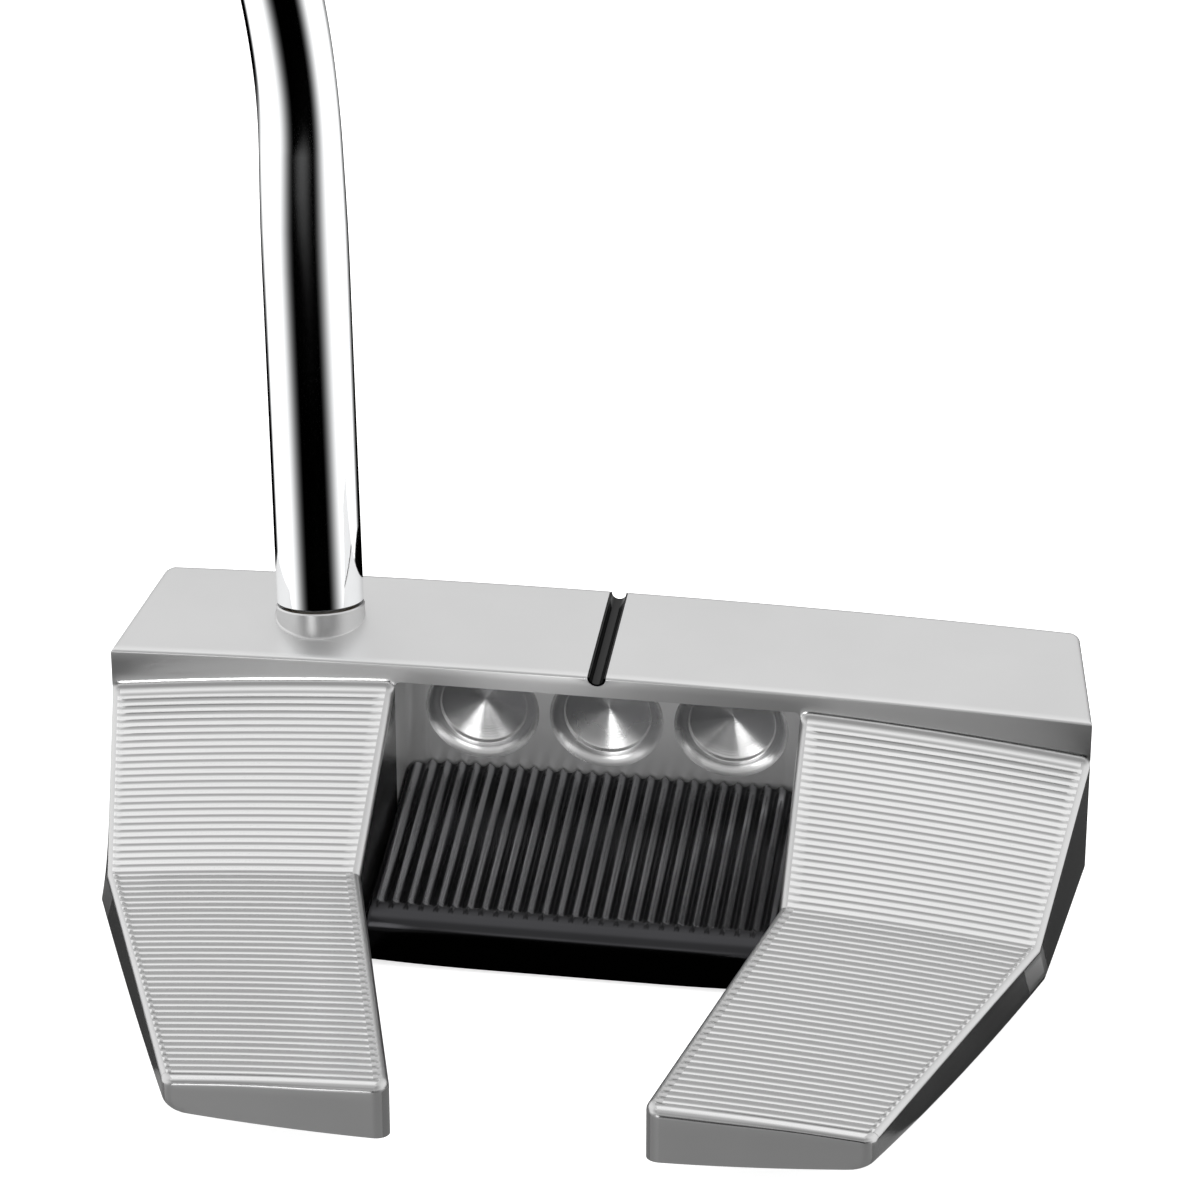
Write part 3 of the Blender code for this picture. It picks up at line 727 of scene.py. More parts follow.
    def cavity(self) -> bpy.types.Object:
        """The cutter of the cavity: a rounded box whose ceiling meets its walls in a fillet.

        Each ring of the loft is the plan outline, drawn in by the fillet's drop at its height.

        Returns:
            The cutter, from below the sole to the cavity's ceiling.
        """
        ceiling = self.height - self.overhang
        below = np.linspace(self.cavity_fillet, 0, 7)
        levels = np.concatenate([[-5.0], ceiling - below])
        offsets = np.concatenate([[0.0], drop(below, self.cavity_fillet)])
        turn = np.linspace(0, np.pi / 2, 10)
        rings = []
        for level, offset in zip(levels, offsets):
            half, front = self.cavity_half_width - offset, self.cavity_depth - offset
            radius = self.cavity_corner - offset
            x = half - radius + radius * np.cos(turn)
            y = front - radius + radius * np.sin(turn)
            x = np.concatenate([[half], x, -x[::-1], [-half]])
            y = np.concatenate([[-2.0], y, y[::-1], [-2.0]])
            rings.append(place(x, y, level))
        return prism("cut_cavity", rings)

    def dimples(self) -> list[bpy.types.Object]:
        """Cutters of the turned dimples: a soft rim, a step, and a shallow cone.

        Returns:
            Three cutters, from the heel to the toe.
        """
        height = self.height - self.overhang - self.dimple_drop
        axis = Vector((0, -1, 0))
        return [
            turned(
                f"cut_dimple_{side + 2}",
                self.dimple_profile,
                aligned((side * self.dimple_pitch, self.cavity_depth, height), axis),
            )
            for side in (-1, 0, 1)
        ]

    def sight_groove(self) -> bpy.types.Object:
        """Cutter of the sight groove: a half round with straight sides, along Y."""
        turn = np.linspace(-np.pi, 0, 15)
        x = np.concatenate([self.sight_radius * np.cos(turn), [self.sight_radius, -self.sight_radius]])
        z = np.concatenate([self.sight_axis + self.sight_radius * np.sin(turn), [30.0, 30.0]])
        return prism("cut_sight", [place(x, -2.0, z), place(x, 30.0, z)])

    def hosel(self) -> bpy.types.Object:
        """The collar with a fillet at its foot, and the spud that goes up inside the shaft.

        Each generator of the collar meets the bar's top in a point. The fillet there is a
        quadratic curve with that point as its pole, from the top's plane to the generator.

        Returns:
            One closed solid that starts inside the bar.
        """
        frame = np.array(self.axis.matrix())
        along, start = frame[:3, 2], self.axis.point()
        turn = 2 * np.pi * np.arange(96) / 96
        spokes = np.outer(np.cos(turn), frame[:3, 0]) + np.outer(np.sin(turn), frame[:3, 1])
        wall = start + self.collar_radius * spokes
        pole = wall + along * ((start[2] - wall[:, 2:]) / along[2])
        flat = spokes * (1, 1, 0)
        flat = flat / np.linalg.norm(flat, axis=1)[:, None]
        foot, rise = pole + self.collar_fillet * flat, pole + self.collar_fillet * along
        rings = [foot - (0, 0, 2.5), foot - (0, 0, 0.02)]
        for share in np.linspace(0, 1, 9)[1:]:
            rings.append((1 - share) ** 2 * foot + 2 * share * (1 - share) * pole + share**2 * rise)
        end = self.collar_height + self.spud_length
        steps = (
            (self.collar_radius, self.collar_height - 0.15),
            (self.collar_radius - 0.15, self.collar_height),
            (self.spud_radius, self.collar_height),
            (self.spud_radius, end - 0.5),
            (self.spud_radius - 0.5, end),
        )
        rings += [start + radius * spokes + along * height for radius, height in steps]
        return prism("add_hosel", rings)

    def build(self, holes: list[bpy.types.Object]) -> bpy.types.Object:
        """Cut the blank and join the hosel.

        Args:
            holes: Cutters of the weights' pockets, the screws' holes and the ears' recess.

        Returns:
            The finished body.
        """
        body = self.blank()
        carve(body, [self.hosel()], "UNION")
        carve(body, [self.cavity(), *self.dimples(), self.sight_groove(), *holes], "DIFFERENCE")
        shade(body)
        return body

    def dress(self, body: bpy.types.Object, finishes: dict[str, bpy.types.Material]) -> None:
        """Give each region of the body its finish, by where its faces are and look.

        Args:
            body: The finished body.
            finishes: Materials by region.
        """
        center, normal = faces_of(body)
        x, y, z = center.T
        reach = (x + self.dimple_pitch / 2) % self.dimple_pitch - self.dimple_pitch / 2
        middle = self.height - self.overhang - self.dimple_drop
        near = np.hypot(reach, z - middle) < self.dimple_profile[1][0] + 0.02
        in_row = np.abs(x) < 1.5 * self.dimple_pitch
        from_axis = self.axis.distance(center)
        inside = np.abs(x) < self.cavity_half_width + 0.02
        ceiling = self.height - self.overhang + 0.02
        wing = (y < 0.01) & (normal[:, 2] > 0.2) & (z < self.height - self.root_step + 0.45)
        at_collar = (from_axis < self.collar_radius + self.collar_fillet) & (z > self.height - 1.2)
        regions = {
            "top": (z > self.height - 2.4) & (normal[:, 2] > 0.4) & (y > -0.01),
            "side": (np.abs(normal[:, 0]) > 0.6) & (y < self.bar_depth),
            "wing": wing,
            "rear_wing": wing & (y < -self.fold_back),
            "rim": wing & (np.abs(normal[:, 0]) > 0.16),
            "cavity": inside & (y > 0.3) & (y < self.cavity_depth + 0.02) & (z < ceiling),
            "face": (y > self.bar_depth - 1) & (normal[:, 1] > 0.95),
            "dimple": near & in_row & (y > self.cavity_depth + 0.01) & (y < 12) & (normal[:, 1] < 0.5),
            "collar": at_collar & (normal[:, 2] < 0.98),
        }
        index = np.zeros(len(center))
        for number, mask in enumerate(regions.values(), 1):
            index[mask] = number
        paint(body, [finishes[region] for region in ("wall", *regions)], index)


# ---------------------------------------------------------------- small parts


@dataclass
class Flange:
    """The black plate that closes the middle of the sole, with ribs, a lip and two ears."""

    sole: Sole
    half_width: float = 21.5
    front: float = 7.5
    back: float = 21.3
    corner: float = 2.0
    wall_height: float = 7.3
    lip_height: float = 5.7
    rib_pitch: float = RIB_PITCH
    rib_land: float = 0.02  # share of the pitch on each side of a crest
    rib_depth: float = 0.55
    rib_end: float = -18.4
    rib_runout: float = 1.2
    edge: float = 0.25  # rounding of the plate's sides
    lip_radius: float = 1.7
    ear_half_width: float = 30.0
    ear_back: float = 20.3
    ear_length: float = 16.0
    ear_top: float = 3.6
    ear_corner: float = 1.2
    screw_edge: float = 4.1
    screw_sink: float = 0.25
    samples: int = 12

    def deck(self, x: Array, y: Array) -> Array:
        """Height of the deck.

        It is a plane that falls to the rear, less the scallops between the ribs, which end in
        quarter rounds, less the roll of the lip.

        Args:
            x: Places across the plate.
            y: Places from the lip to the cavity's wall.

        Returns:
            The heights.
        """
        fall = (self.wall_height - self.lip_height) / (self.front + self.back)
        plane = self.wall_height - fall * (self.front - y)
        count = int(2 * self.half_width / self.rib_pitch)
        turn = (x + count * self.rib_pitch / 2) / self.rib_pitch
        share = (turn % 1 - self.rib_land) / (1 - 2 * self.rib_land)
        inside = (turn > 0) & (turn < count) & (share > 0) & (share < 1)
        scallop = np.where(inside, np.sin(np.pi * np.clip(share, 0, 1)), 0)
        run = np.clip((y - self.rib_end) / self.rib_runout, 0, 1)
        depth = self.rib_depth * np.sqrt(1 - (1 - run) ** 2)
        roll = drop(y + self.back, self.lip_radius)
        return plane - scallop * depth - roll

    def plate(self) -> bpy.types.Object:
        """The plate without its ears: deck and sole grids on one outline, and a wall round it."""
        ribs = np.arange(-self.half_width, self.half_width, self.rib_pitch / self.samples)
        edges = self.edge * np.array([0, 0.08, 0.28, 0.6, 1])
        x = np.concatenate([-self.half_width + edges, ribs[3:-1], self.half_width - edges[::-1]])
        shares = np.unique(np.clip(x, -self.half_width, self.half_width)) / self.half_width
        rear = -self.back + self.lip_radius * (1 - np.cos(np.linspace(0, np.pi / 2, 9)))
        ends = self.rib_end + np.linspace(0, self.rib_runout, 7)
        front = self.front - self.corner * (1 - np.sin(np.linspace(0, np.pi / 2, 8)))
        y = np.concatenate([rear, ends, np.linspace(-16.5, 4.5, 6), front])[:, None]
        inward = drop(self.front - y, self.corner)
        limit = self.half_width - inward
        x = np.clip(shares * self.half_width, -limit, limit)
        top = place(x, y, self.deck(x, y) - drop(limit - np.abs(x), self.edge))
        bottom = place(x, y, self.sole.height(x, y))
        shell = Shell()
        shell.add(top)
        shell.add(bottom)
        for border in (np.s_[0], np.s_[-1], np.s_[:, 0], np.s_[:, -1]):
            shell.add(between(top[border], bottom[border], np.linspace(0, 1, 4)))
        return shell.piece("sole_flange_ribbed")

    def ears(self, clearance: float, low: float, name: str) -> bpy.types.Object:
        """The block of both ears, or with a clearance the recess for it.

        Args:
            clearance: Added on every side but the lower one.
            low: Height of the lower side.
            name: The block's name.

        Returns:
            The block, with its vertical corners rounded.
        """
        half = self.ear_half_width + clearance
        back, front = -self.ear_back - clearance, self.ear_length - self.ear_back + clearance
        radius, top = self.ear_corner + clearance, self.ear_top + clearance
        turn = np.linspace(0, np.pi / 2, 7)
        corners = ((half, front, 0), (-half, front, 1), (-half, back, 2), (half, back, 3))
        x, y = [], []
        for corner_x, corner_y, quarter in corners:
            angle = turn + quarter * np.pi / 2
            x.append(corner_x - math.copysign(radius, corner_x) + radius * np.cos(angle))
            y.append(corner_y - (radius if quarter < 2 else -radius) + radius * np.sin(angle))
        x, y = np.concatenate(x), np.concatenate(y)
        lower = self.sole.height(x, y) if low >= 0 else low
        return prism(name, [place(x, y, lower), place(x, y, top)])

    def screw_places(self) -> list[tuple[float, float, float]]:
        """Where the four screw heads are, on their axes."""
        out = self.ear_half_width - self.screw_edge
        rows = (-self.ear_back + self.screw_edge, self.ear_length - self.ear_back - self.screw_edge)
        spots = [(x, y) for x in (-out, out) for y in rows]
        heights = [float(self.sole.height(np.array(x), np.array(y))) for x, y in spots]
        return [(x, y, height + self.screw_sink) for (x, y), height in zip(spots, heights)]

    def build(self, holes: list[bpy.types.Object]) -> bpy.types.Object:
        """Join the ears to the plate and cut the screws' holes.

        Args:
            holes: Cutters of the holes for the screws.

        Returns:
            The finished plate.
        """
        plate = self.plate()
        carve(plate, [self.ears(0, 0, "add_ears")], "UNION")
        carve(plate, holes, "DIFFERENCE")
        shade(plate)
        return plate

    def dress(
        self, plate: bpy.types.Object, plain: bpy.types.Material, ribbed: bpy.types.Material
    ) -> None:
        """Give the ribs one finish and the rest of the plate the other.

        Args:
            plate: The finished plate.
            plain: Finish of the plate.
            ribbed: Finish of the ribs, with painted highlights on their flanks and painted shade between
                them.
        """
        center, normal = faces_of(plate)
        on_deck = (center[:, 2] > self.ear_top) & (normal[:, 2] > 0.5)
        paint(plate, [plain, ribbed], on_deck & (center[:, 1] > self.rib_end + 0.3))


@dataclass
class Screw:
    """A countersunk socket screw, its head down."""

    radius: float = 1.5
    head_radius: float = 2.8
    head_height: float = 1.6
    length: float = 8.5
    socket: float = 1.15
    socket_depth: float = 1.1
    thread_pitch: float = 0.5
    thread_depth: float = 0.22
    plain_length: float = 0.6  # without thread, below the head and at the tip

    def frame(self, spot: Array) -> Matrix:
        """The screw's frame: +Z out of the sole."""
        return aligned(spot, Vector((0, 0, -1)))

    def build(self, name: str, spot: Array) -> bpy.types.Object:
        """Turn the screw, with rings for its thread, and cut its hexagon socket.

        Args:
            name: The piece's name.
            spot: Centre of the head's face.

        Returns:
            The screw.
        """
        first, last = self.head_height + self.plain_length, self.length - self.plain_length
        crests = np.arange(first, last, self.thread_pitch)
        thread = [
            point
            for z in crests
            for point in (
                (self.radius, -z),
                (self.radius - self.thread_depth, -z - self.thread_pitch / 2),
            )
        ]
        profile = [(0, 0), (self.head_radius - 0.15, 0), (self.head_radius, -0.12)]
        profile += [(self.radius, -self.head_height), *thread]
        profile += [(self.radius - 0.4, -self.length), (0, -self.length)]
        screw = turned(name, profile, self.frame(spot), 48)
        edge = [(0, 0.5), (self.socket + 0.5, 0.5), (self.socket, -0.05)]
        edge += [(self.socket, -self.socket_depth), (0, -self.socket_depth - 0.4)]
        carve(screw, [turned("cut_socket", edge, self.frame(spot), 6)], "DIFFERENCE")
        shade(screw)
        return screw

    def head_hole(self, spot: Array) -> bpy.types.Object:
        """The countersunk hole through an ear."""
        wide = self.head_radius + GAP
        narrow = self.radius + GAP
        cone = -self.head_height - GAP
        profile = [(0, 3), (wide, 3), (wide, -GAP), (narrow, cone), (narrow, -5), (0, -5)]
        return turned("cut_head", profile, self.frame(spot), 48)

    def thread_hole(self, spot: Array) -> bpy.types.Object:
        """The hole up into the steel, from below the sole to past the screw's tip."""
        narrow = self.radius + GAP
        profile = [(0, 2), (narrow, 2), (narrow, -self.length - GAP), (0, -self.length - GAP)]
        return turned("cut_thread", profile, self.frame(spot), 32)


@dataclass
class Weight:
    """A screw-in sole weight with two blind holes for a pin spanner."""

    sole: Sole
    x: float = 41.0
    y: float = 4.0
    radius: float = 7.0
    head: float = 3.0
    shank_radius: float = 5.0
    length: float = 8.5
    sink: float = 0.35
    pin_radius: float = 1.0
    pin_offset: float = 4.0
    pin_depth: float = 1.8

    def frame(self, side: int) -> Matrix:
        """The frame of one weight: origin in the middle of its face, +Z out of the sole."""
        out = self.sole.outward(side * self.x)
        height = float(self.sole.height(np.array(self.x), np.array(self.y)))
        spot = Vector((side * self.x, self.y, height)) - out * self.sink
        return aligned(spot, out)

    def build(self, name: str, side: int) -> bpy.types.Object:
        """Turn a weight with a shallow dish in its face, and drill its pin holes.

        Args:
            name: The piece's name.
            side: -1 at the heel, 1 at the toe.

        Returns:
            The weight.
        """
        frame = self.frame(side)
        profile = [(0, -0.25), (2.4, -0.25), (2.7, -0.02), (2.9, 0), (self.radius - 0.45, 0)]
        profile += [(self.radius - 0.1, -0.15), (self.radius, -0.45), (self.radius, -self.head)]
        profile += [(self.shank_radius, -self.head), (self.shank_radius, -self.length + 0.4)]
        profile += [(self.shank_radius - 0.4, -self.length), (0, -self.length)]
        weight = turned(name, profile, frame)
        pin = [(0, 0.5), (self.pin_radius + 0.5, 0.5), (self.pin_radius, -0.12)]
        pin += [(self.pin_radius, -self.pin_depth), (0, -self.pin_depth - 0.5)]
        places = (Matrix.Translation((0, sign * self.pin_offset * MM, 0)) for sign in (-1, 1))
        carve(weight, [turned("cut_pin", pin, frame @ offset, 32) for offset in places], "DIFFERENCE")
        shade(weight)
        return weight

    def pocket(self, side: int) -> bpy.types.Object:
        """The stepped pocket of a weight, open to the sole."""
        wide, narrow = self.radius + GAP, self.shank_radius + GAP
        step, end = -self.head - GAP, -self.length - GAP
        profile = [(0, 3), (wide, 3), (wide, step), (narrow, step), (narrow, end), (0, end)]
        return turned("cut_pocket", profile, self.frame(side))


@dataclass
class SightLine:
    """Black enamel that lines the sight groove as a shallow channel."""

    radius: float = 0.95
    film: float = 0.16
    axis: float = SIGHT_AXIS
    start: float = 0.06
    end: float = 17.7
    top: float = 24.08

    def build(self) -> bpy.types.Object:
        """A channel section, half round outside and inside, drawn along Y."""
        turn = np.linspace(-np.pi, 0, 17)
        inner = self.radius - self.film
        out_x, out_z = self.radius * np.cos(turn), self.axis + self.radius * np.sin(turn)
        in_x, in_z = inner * np.cos(turn[::-1]), self.axis + inner * np.sin(turn[::-1])
        x = np.concatenate([[-self.radius], out_x, [self.radius, inner], in_x, [-inner]])
        z = np.concatenate([[self.top], out_z, [self.top, self.top], in_z, [self.top]])
        line = prism("sight_line_enamel", [place(x, y, z) for y in (self.start, self.end)])
        shade(line)
        return line


# ---------------------------------------------------------------- shaft and grip


@dataclass
class Shaft:
    """The chromed tube: straight from the collar, one bend, then straight to the butt."""

    axis: Axis
    collar_height: float = COLLAR_HEIGHT
    club_length: float = 864.0
    lie: float = math.radians(70)
    tip_diameter: float = 9.4
    butt_diameter: float = 14.7
    wall: float = 0.55
    taper_start: float = 170.0
    bend_start: float = 51.4
    bend_radius: float = 92.0
    bend_flat: float = 0.89  # across the tube in the plane of the bend
    bend_wide: float = 1.03  # across the tube square to that plane
    chamfer: float = 0.12
    sides: int = 96

    def directions(self) -> tuple[Array, Array]:
        """Unit vectors of the lower and upper shaft."""
        high = np.array((-1 / math.tan(self.lie), 0, 1))
        return np.array(self.axis.direction()), high / np.linalg.norm(high)

    def stations(self) -> tuple[Array, Array, Array]:
        """The centre line: a straight, a circular arc, and a straight to the butt.

        Returns:
            Points, unit tangents and distances from the bar's top, one row for each station.
        """
        low, high = self.directions()
        turn = math.acos(float(low @ high))
        across = np.cross(low, high) / math.sin(turn)
        inward = np.cross(across, low)
        first = self.axis.point()
        corner = first + low * self.bend_start
        center = corner + inward * self.bend_radius
        arc = self.bend_radius * turn
        left = self.club_length - first[2] - self.bend_start - arc
        lower = np.linspace(self.collar_height + GAP, self.bend_start, 12, endpoint=False)[:, None]
        angle = np.linspace(0, turn, 49)[:, None]
        upper = np.linspace(0, left, 60)[1:, None]
        spoke = -inward * np.cos(angle) + low * np.sin(angle)
        bend = center + self.bend_radius * spoke
        points = np.vstack([first + low * lower, bend, bend[-1] + high * upper])
        along = low * np.cos(angle) + inward * np.sin(angle)
        tangents = np.vstack([low + 0 * lower, along, high + 0 * upper])
        runs = (lower, self.bend_start + self.bend_radius * angle, self.bend_start + arc + upper)
        run = np.vstack(runs)
        return points, tangents, run[:, 0]

    def radius_at(self, run: Array) -> Array:
        """Outer radius: the tip's, then a straight taper to the butt's."""
        end = self.club_length - self.axis.z
        radii = (self.tip_diameter / 2, self.butt_diameter / 2)
        return np.interp(run, (self.taper_start, end), radii)

    def build(self) -> bpy.types.Object:
        """Sweep the wall along the centre line: ellipses in the bend, circles elsewhere.

        Returns:
            The tube, its rims chamfered.
        """
        points, tangents, run = self.stations()
        low, high = self.directions()
        across = np.cross(low, high) / np.linalg.norm(np.cross(low, high))
        inward = np.cross(across, tangents)
        arc = self.bend_radius * math.acos(float(low @ high))
        share = blend(run, self.bend_start - 12, self.bend_start + 8)
        share = share * (1 - blend(run, self.bend_start + arc - 8, self.bend_start + arc + 12))
        flat = 1 + share * (self.bend_flat - 1)
        wide = 1 + share * (self.bend_wide - 1)
        angles = 2 * np.pi * np.arange(self.sides) / self.sides
        cos, sin = np.cos(angles)[:, None], np.sin(angles)[:, None]
        spokes = inward[:, None] * flat[:, None, None] * cos + across * wide[:, None, None] * sin

        def ring(radius: Array) -> Array:
            """The section's loop at each station, with a radius for each."""
            return points[:, None] + spokes * radius[:, None, None]

        outer = self.radius_at(run)
        shell = ring(outer)
        bore = ring(outer - self.wall)
        start = ring(outer - self.chamfer)[:1]
        end = ring(outer - self.chamfer)[-1:]
        shell[0] += low * self.chamfer
        shell[-1] -= high * self.chamfer
        tube = Shell()
        tube.add(np.concatenate([start, shell, end, bore[::-1]]), wrap_rows=True, wrap_columns=True)
        made = tube.piece("shaft_chromed")
        shade(made)
        return made


@dataclass
class Grip:
    """The rubber pistol grip: a flat front, full sides, and a heel that swells to the rear."""

    shaft: Shaft
    length: float = 266.0
    cap: float = 4.0
    vent_radius: float = 1.6
    tape_wall: float = 0.4
    sides: int = 120
    lip: float = 1.6  # rounding of the mouth
    edge: float = 2.6  # rounding of the butt
    fullness: float = 1.12  # the uncut front's reach over half the width of the grip
    corner_cut: float = 0.25  # how far the corners beside the flat front are softened
    corner_reach: float = 0.5
    side_power: float = 0.9  # below 1, the sides are fuller than an ellipse's
    ring_place: float = 11.0  # of the ring groove, from the mouth
    ring_depth: float = 0.5
    ring_width: float = 0.7
    stations: Array = field(default_factory=lambda: np.linspace(0, 1, 240))

    def frame(self) -> Matrix:
        """Origin at the mouth on the shaft's axis, +Z up the shaft and +X to the flat front."""
        points, _, _ = self.shaft.stations()
        high = Vector(self.shaft.directions()[1])
        mouth = Vector(points[-1]) - high * (self.length - self.cap - GAP)
        across = Vector((0, 1, 0))
        turn = Matrix((across.cross(high), across, high)).transposed().to_4x4()
        return Matrix.Translation(mouth * MM) @ turn

    def bore(self, share: Array) -> Array:
        """Radius of the bore at shares of the length: the shaft's, plus the tape and the gaps."""
        end = self.shaft.club_length - self.shaft.axis.z
        run = end - (1 - share) * self.length + self.cap
        return self.shaft.radius_at(run) + self.tape_wall + 2 * GAP

    def sections(self, share: Array) -> Array:
        """Outer loops: half an ellipse behind, and one in front that is cut off flat.

        Each thickness of the wall is interpolated along the length and averaged over a short
        stretch. A fine ring groove runs round the grip near its mouth.

        Args:
            share: Shares of the length, shape (n,).

        Returns:
            Points, shape (n, sides, 3).
        """

        def wall(knots: tuple[float, ...], sizes: tuple[float, ...]) -> Array:
            """Wall thickness at each share, with the corners of its table rounded off."""
            spread = np.linspace(-0.04, 0.04, 9)
            samples = np.clip(share[:, None] + spread, 0, 1)
            return np.interp(samples, knots, sizes).mean(1)[:, None]

        bore = self.bore(share)[:, None]
        half = bore + wall((0, 0.08, 0.5, 0.9, 0.97, 1), (1.9, 2.4, 3.3, 5.0, 5.3, 4.8))
        flat = bore + wall((0, 0.5, 0.97, 1), (1.6, 1.9, 2.3, 2.2))
        back = bore + wall((0, 0.08, 0.35, 0.6, 0.78, 0.9, 1), (1.9, 2.6, 3.7, 5.8, 9.0, 9.9, 9.3))
        angles = 2 * np.pi * np.arange(self.sides) / self.sides
        cos, sin = np.cos(angles), np.sin(angles)
        blunt = self.fullness * half * cos
        softened = self.corner_cut * np.exp(-(((blunt - flat) / self.corner_reach) ** 2))
        x = np.where(cos > 0, np.minimum(blunt, flat) - softened, back * cos)
        y = half * np.sign(sin) * np.abs(sin) ** self.side_power
        from_ring = (share[:, None] * self.length - self.ring_place) / self.ring_width
        ring = self.ring_depth * np.exp(-(from_ring**2))
        from_mouth, to_butt = share * self.length, (1 - share) * self.length
        round_off = drop(from_mouth, self.lip) + drop(to_butt, self.edge)
        keep = 1 - (ring + round_off[:, None]) / half
        return place(x * keep, y * keep, (share * self.length)[:, None])

    def build(self) -> bpy.types.Object:
        """Carry loops down the bore, round the mouth, up the outside and over the butt to the vent.

        Returns:
            The grip, one closed surface.
        """
        near = np.concatenate([np.array([0, 0.02, 0.08, 0.18, 0.35, 0.6, 0.9, 1.25]), [self.lip]])
        far = self.length - np.array([2.6, 2.2, 1.7, 1.2, 0.8, 0.45, 0.2, 0.07, 0.02, 0])
        middle = self.stations * (self.length - 8) + 3
        outer = self.sections(np.concatenate([near, middle, far]) / self.length)
        angles = 2 * np.pi * np.arange(self.sides) / self.sides
        cos, sin = np.cos(angles), np.sin(angles)
        ceiling = self.length - self.cap
        inside = np.linspace(ceiling, 0.25, 20)
        radius = self.bore(inside / self.length)[:, None]
        bore = place(radius * cos, radius * sin, inside[:, None])
        mouth = (self.bore(np.array([0.0])) + 0.25)[:, None]
        rim = place(mouth * cos, mouth * sin, 0.0)
        vent_radius = self.vent_radius + np.array([0.35, 0.1, 0, 0])[:, None]
        height = self.length - np.array([0, 0.1, 0.35, self.cap])[:, None]
        vent = place(vent_radius * cos, vent_radius * sin, height)
        shares = np.linspace(0, 1, 6)[1:-1]
        butt = np.moveaxis(between(outer[-1], vent[0], shares), 1, 0)
        shell = Shell()
        shell.add(np.concatenate([bore, rim, outer, butt, vent]), wrap_rows=True, wrap_columns=True)
        grip = shell.piece("grip_moulded", self.frame())
        shade(grip)
        return grip


# ---------------------------------------------------------------- finishes


def linear(value: str) -> tuple[float, float, float, float]:
    """An sRGB hex colour as linear RGBA."""
    channels = [int(value[i : i + 2], 16) / 255 for i in (1, 3, 5)]
    red, green, blue = (c / 12.92 if c <= 0.04045 else ((c + 0.055) / 1.055) ** 2.4 for c in channels)
    return (red, green, blue, 1.0)


def add_node(tree: bpy.types.NodeTree, kind: str, links: dict, **settings: object) -> bpy.types.Node:
    """Add a node with its settings, and its inputs as values or as links.

    Args:
        tree: The node tree.
        kind: Blender's name of the node.
        links: Input sockets, by name or number, with a value or an output socket each.
        settings: The node's properties.

    Returns:
        The node.
    """
    node = tree.nodes.new(kind)
    for key, value in settings.items():
        setattr(node, key, value)
    for key, value in links.items():
        if isinstance(value, bpy.types.NodeSocket):
            tree.links.new(value, node.inputs[key])
        else:
            node.inputs[key].default_value = value
    return node


PATCH_SIZE = 14.0  # mm across a patch of slightly other colour and roughness
FLANK_PHASE = 0.6  # radians between the start of a pattern of grooves and its other tone
FLANK_EDGE = -0.35  # cosine at which that tone starts
NOISE_RANGE = (0.3, 0.7)  # where nearly all of the noise lies


class Pattern(Enum):
    """How a surface was made, which decides the shape of its bump."""

    GRAIN = "even grain"
    LINES_X = "lines along X"
    RINGS = "rings of a turned face"
    ARCS = "arcs of a face cutter"
    CELLS = "moulded cells"


